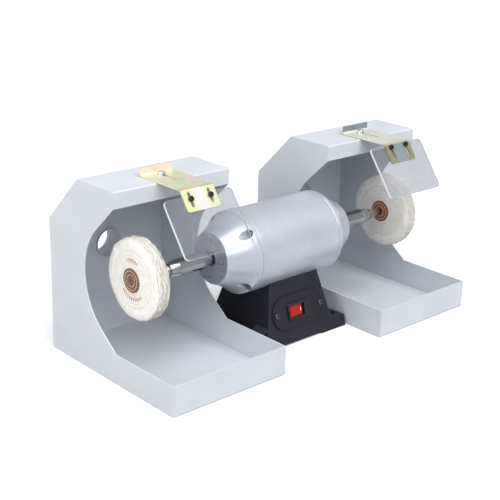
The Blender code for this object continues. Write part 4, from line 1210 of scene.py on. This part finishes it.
lip_face = BRACKET_BACK - BRACKET_SHEET
bracket_path = eased([(BRACKET_BEND - FLANGE_LENGTH * math.sin(FLANGE_TILT),
                       BRACKET_TOP - FLANGE_LENGTH * math.cos(FLANGE_TILT)),
                      (BRACKET_BEND, BRACKET_TOP), (lip_face, BRACKET_TOP),
                      (lip_face, BRACKET_TOP + BRACKET_LIP)], [0, 3 * MM, 1.2 * MM, 0], 8)
run = [0.0]
for start, end in zip(bracket_path, bracket_path[1:]):
    run.append(run[-1] + math.dist(start, end))


def along_run(back):
    """How far along the flat blank a point of the level plate lies, from its distance back."""
    past_bend = next(i for i, point in enumerate(bracket_path)
                     if abs(point[1] - BRACKET_TOP) < WELD)
    return run[past_bend] + back - bracket_path[past_bend][0]


def folded(blank, middle):
    """Roll a blank, drawn with its length along Y, onto the bracket's path."""
    for cut_at in run[1:-1]:
        bmesh.ops.bisect_plane(blank, geom=blank.verts[:] + blank.edges[:] + blank.faces[:],
                               dist=HAIR, plane_co=(0, cut_at, 0), plane_no=(0, 1, 0))
    offsets = left_of(bracket_path)
    for vert in blank.verts:
        x, length, depth = vert.co
        step = next((i for i in range(len(run) - 1) if length <= run[i + 1] + HAIR),
                    len(run) - 2)
        share = (length - run[step]) / (run[step + 1] - run[step])
        point = Vector(bracket_path[step]).lerp(Vector(bracket_path[step + 1]), share)
        point += offsets[step].lerp(offsets[step + 1], share) * depth
        vert.co = (middle + x, HOOD_FRONT_Y + point.x, point.y)
    bmesh.ops.recalc_face_normals(blank, faces=blank.faces)
    return blank


print("the flat blank is", round(run[-1] / MM, 1), "mm long")

# %% The brackets and their clamp screws
def bracket(side):
    middle = middles[side]
    half = BRACKET_WIDTH / 2
    outline = eased([(-half, 0), (half, 0), (half, run[-1]), (-half, run[-1])],
                    [3.2 * MM, 3.2 * MM, 1.5 * MM, 1.5 * MM], 6, True)
    start, end = BRACKET_SLOT
    long_slot = [(-y, x) for x, y in stadium(end - start, LONG_SLOT_WIDTH, 12,
                                             ((along_run(start) + along_run(end)) / 2, 0))]
    top, bottom = FLANGE_SLOT
    short_slots = [[(sign * SLOT_X - y, x) for x, y in
                    stadium(bottom - top, SLOT_WIDTH, 12,
                            (FLANGE_LENGTH - (top + bottom) / 2, 0))] for sign in (-1, 1)]
    blank = soften(plate([outline, long_slot, *short_slots], BRACKET_SHEET), 0.3 * MM, 2, 50)
    blank = moved(blank, Matrix.Translation((0, 0, -BRACKET_SHEET / 2)))
    finished(folded(blank, middle), side + "_folded_bracket", side + "_guard", zincs[side],
             [side + "_bracket"], 24)
    clamp = screw(4.4 * MM, 3.4 * MM, 2.1 * MM, 12 * MM, 0.45, "slot", 0.24, 0.5, 5.0 * MM)
    spot = Matrix.Translation((middle, HOOD_FRONT_Y + BRACKET_SCREW_BACK,
                               BRACKET_TOP + GAP))
    turn = Matrix.Rotation(0.5 * SIDES[side], 4, "Z")
    finished(moved(clamp, spot @ turn), side + "_clamp_screw", "frame", bright_screw,
             [side + "_bracket_screw"])


for side in SIDES:
    bracket(side)
tell("left_folded_bracket", "left_clamp_screw")

# %% [markdown]
# ## The eye shields
#
# A shield is a plain slab of clear acrylic with rounded corners and two drilled holes. What makes
# it look real is its edge: light runs inside the slab and leaves at the cut edges, so they show
# bright while the faces almost vanish. The saw leaves those edges rough, so they get a frosted
# finish of their own, near white and mostly opaque, which also paints in the glow of that light.
# The faces get faint wiping marks, because plastic is never quite even.

# %% Clear acrylic, and its sawn edge, frosted and given a painted glow
ACRYLIC_IOR = 1.49

acrylic, tree, shader, where = new_look("clear_acrylic")
wiping = noisy(tree, where, 70.0, 6.0, 0.7, 1.5)
feed(tree, shader, {
    "Base Color": ramp(tree, wiping, [(0.35, (0.82, 0.83, 0.89)), (0.65, (0.91, 0.92, 0.96))]),
    "Roughness": spread(tree, wiping, 0.015, 0.09, 0.45, 0.75),
    "Transmission Weight": 0.93, "IOR": ACRYLIC_IOR})

# The edge's near-white, mostly opaque colour is partly a frosted finish and partly a painted glow of
# light leaving the sheet.
frosted_and_glowing_edge, tree, shader, where = new_look("frosted_edge_with_painted_glow")
saw = placed(tree, drawn_lines, {"Where": where, "Stretch": (1, 1, 6), "Scale": 500.0})["Tone"]
feed(tree, shader, {
    "Base Color": ramp(tree, saw, [(0.3, (0.86, 0.90, 0.95)), (0.7, (0.96, 0.98, 1.0))]),
    "Roughness": spread(tree, saw, 0.25, 0.5),
    "Transmission Weight": 0.2, "IOR": ACRYLIC_IOR})
print("shield materials:", acrylic.name, frosted_and_glowing_edge.name)

# %% The shields and the two screws that hold each one
SHIELD_WIDTH, SHIELD_HEIGHT, SHIELD_SHEET, SHIELD_CORNER = 104 * MM, 75 * MM, 3 * MM, 6 * MM
SHIELD_HOLE_DROP, SHIELD_HOLE_RADIUS = 5 * MM, 2.3 * MM
SHIELD_SCREW_AT = {"left": 14 * MM, "right": 6.5 * MM}


def on_flange(x, down, out):
    """Local +Z out of the sloping flange, at a distance across it, down it and out of it."""
    bend = Vector((x, HOOD_FRONT_Y + BRACKET_BEND, BRACKET_TOP))
    downward = Vector((0, -math.sin(FLANGE_TILT), -math.cos(FLANGE_TILT)))
    outward = Vector((0, -math.cos(FLANGE_TILT), math.sin(FLANGE_TILT)))
    return (Matrix.Translation(bend + downward * down + outward * out)
            @ Matrix.Rotation(math.pi / 2 - FLANGE_TILT, 4, "X"))


def eye_shield(side):
    middle, body, screw_down = middles[side], side + "_eye_shield", SHIELD_SCREW_AT[side]
    hole_y = SHIELD_HEIGHT / 2 - SHIELD_HOLE_DROP
    holes = [circle(SHIELD_HOLE_RADIUS, 32, (x, hole_y)) for x in (-SLOT_X, SLOT_X)]
    outline = eased(rectangle(SHIELD_WIDTH, SHIELD_HEIGHT), SHIELD_CORNER, 10, True)
    slab = soften(plate([outline, *holes], SHIELD_SHEET), 0.5 * MM, 3, 50)
    out = -BRACKET_SHEET - GAP - SHIELD_SHEET / 2
    spot = on_flange(middle, screw_down - SHIELD_HOLE_DROP + SHIELD_HEIGHT / 2, out)
    for face in slab.faces:
        face.material_index = 0 if abs(face.normal.z) > 0.9 else 1
    shield = finished(moved(slab, spot), side + "_clear_shield", body, acrylic,
                      [side + "_shield"])
    shield.data.materials.append(frosted_and_glowing_edge)
    for number, sign in enumerate((-1, 1), 1):
        fixing = screw(3.5 * MM, 3.0 * MM, 1.9 * MM, 7.5 * MM, 0.35, "hexagon", 0.5, 0.55)
        spot = on_flange(middle + sign * SLOT_X, screw_down, GAP)
        finished(moved(fixing, spot), f"{side}_shield_fixing_{number}", body, black_screw,
                 [f"{side}_shield_screw_{number}"])


for side in SIDES:
    eye_shield(side)
tell("left_clear_shield", "left_shield_fixing_1")

# %% [markdown]
# ## What is inside the motor and the base
#
# The laminated cores, the windings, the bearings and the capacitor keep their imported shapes,
# because the castings close over them. They still get finishes of their own, so a section through
# the model shows the right materials: thin steel layers for the cores, varnished wire for the
# windings, ground steel for the bearing rings.

# %% Finishes for the hidden pieces
laminations, tree, shader, where = new_look("stacked_laminations")
layers = striped(tree, where, 320.0, 0.4, 1.0, bands_direction="X")
feed(tree, shader, {
    "Base Color": ramp(tree, layers, [(0.2, (0.14, 0.14, 0.15)), (0.8, (0.34, 0.34, 0.36))]),
    "Roughness": spread(tree, layers, 0.6, 0.4), "Metallic": 0.9})

copper, tree, shader, where = new_look("varnished_wire")
wires = striped(tree, where, 260.0, 4.0, 2.0, wave_type="RINGS", rings_direction="X")
feed(tree, shader, {
    "Base Color": ramp(tree, wires, [(0.2, (0.20, 0.06, 0.02)), (0.8, (0.62, 0.27, 0.11))]),
    "Roughness": spread(tree, wires, 0.5, 0.28), "Metallic": 0.9})
raised(tree, shader, wires, 0.5, 0.5 * MM)

bearing_steel = drawn_metal("ground_bearing_steel", (0.55, 0.56, 0.58), 0.20, (40, 1, 1))
can = coated("drawn_metal_can", (0.66, 0.66, 0.64), 0.34, 0.6, scale=700.0, dusty=0.05)
print("inside finishes:", laminations.name, copper.name, bearing_steel.name, can.name)

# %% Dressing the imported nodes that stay
def dress(look, *nodes):
    for name in nodes:
        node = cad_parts[name]
        for holder in node.material_slots:
            holder.material = look


dress(laminations, "stator_core", "rotor_core")
dress(copper, "left_winding", "right_winding")
dress(bearing_steel, "wave_washer", *(f"{side}_bearing_{ring}" for side in SIDES
                                      for ring in ("inner", "outer")))
dress(base_black, "base_bottom_plate")
dress(can, "run_capacitor")
shown = [name for name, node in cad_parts.items() if not node.hide_render]
print("packed nodes still shown:", ", ".join(sorted(shown)))

# %% [markdown]
# ## Floor, light and camera
#
# The set stands on a plain white sweep under large soft lights, so shadows are pale and edges
# stay clean. The floor and the world are white where the camera sees them and dimmer for
# everything else. That keeps the backdrop clean, leaves the undersides a little darker and
# doesn't wash out the inside of the hoods. One very wide light stands high in front, a soft box at
# the left shapes the round motor, and a weak one in front lifts the shadows.

# %% The floor
FLOOR_BOUNCE, FLOOR_HALF = (0.5, 0.5, 0.5, 1), 6
floor_shape = bmesh.new()
bmesh.ops.create_grid(floor_shape, x_segments=2, y_segments=2, size=FLOOR_HALF)
floor = as_object(moved(floor_shape, Matrix.Translation((0, 0, -0.2 * MM))), "studio_floor")
floor_look, tree, shader, where = new_look("white_paper")
paper = ramp(tree, noisy(tree, where, 3.0), [(0.3, (0.93, 0.93, 0.935)), (0.7, (0.95, 0.95, 0.955))])
seen = add(tree, "ShaderNodeLightPath").outputs["Is Camera Ray"]
feed(tree, shader, {"Base Color": blended(tree, seen, FLOOR_BOUNCE, paper), "Roughness": 0.9,
                    "Specular IOR Level": 0.1})
floor.data.materials.append(floor_look)
print("floor is", floor.dimensions.x, "m wide")

# %% The world and the lights
WORLD_LIGHT, WORLD_SEEN = 0.42, 1.1
world = bpy.data.worlds.new("white_studio")
bpy.context.scene.world = world
world.use_nodes = True
tree = world.node_tree
seen = add(tree, "ShaderNodeLightPath").outputs["Is Camera Ray"]
feed(tree, tree.nodes["Background"], {"Color": (0.96, 0.98, 1.0, 1),
                                      "Strength": spread(tree, seen, WORLD_LIGHT, WORLD_SEEN)})


def lamp(name, kind, energy, towards, place=(0, 0, 0), **settings):
    """A light that shines towards a direction, from a place where that matters."""
    data = bpy.data.lights.new(name, kind)
    data.energy = energy
    for key, value in settings.items():
        setattr(data, key, value)
    made = bpy.data.objects.new(name, data)
    bpy.context.scene.collection.objects.link(made)
    made.location = place
    made.rotation_euler = Vector(towards).to_track_quat("-Z", "Y").to_euler()


lamp("wide_overhead_light", "SUN", 3.35, (0.12, 0.65, -1), angle=math.radians(70),
     color=(0.98, 0.99, 1.0))
lamp("left_softbox", "AREA", 17, (1.9, 0.2, -0.78), (-1.9, -0.2, 0.9), shape="RECTANGLE",
     size=1.4, size_y=1.2)
lamp("front_softbox", "AREA", 2, (-0.5, 2.0, -0.9), (0.5, -2.0, 1.0), shape="RECTANGLE",
     size=1.6, size_y=1.0)

# %% The camera
CAMERA_AT = Vector((-0.9757, -1.0313, 0.6178))
CAMERA_AZIMUTH, CAMERA_DOWN, CAMERA_ROLL = (math.radians(a) for a in (-42.66, 19.78, 1.56))

view_data = bpy.data.cameras.new("studio_camera")
view_data.lens, view_data.sensor_width = 78.96, 36.0
view_data.clip_start, view_data.clip_end = 0.05, 50
camera = bpy.data.objects.new("studio_camera", view_data)
bpy.context.scene.collection.objects.link(camera)
forward = Vector((-math.sin(CAMERA_AZIMUTH) * math.cos(CAMERA_DOWN),
                  math.cos(CAMERA_AZIMUTH) * math.cos(CAMERA_DOWN), -math.sin(CAMERA_DOWN)))
camera.location = CAMERA_AT
camera.rotation_mode = "QUATERNION"
camera.rotation_quaternion = (forward.to_track_quat("-Z", "Y")
                              @ Quaternion((0, 0, 1), CAMERA_ROLL))
bpy.context.scene.camera = camera
bpy.context.scene.view_settings.view_transform = "Standard"
print("camera looks along", tuple(round(v, 3) for v in forward))
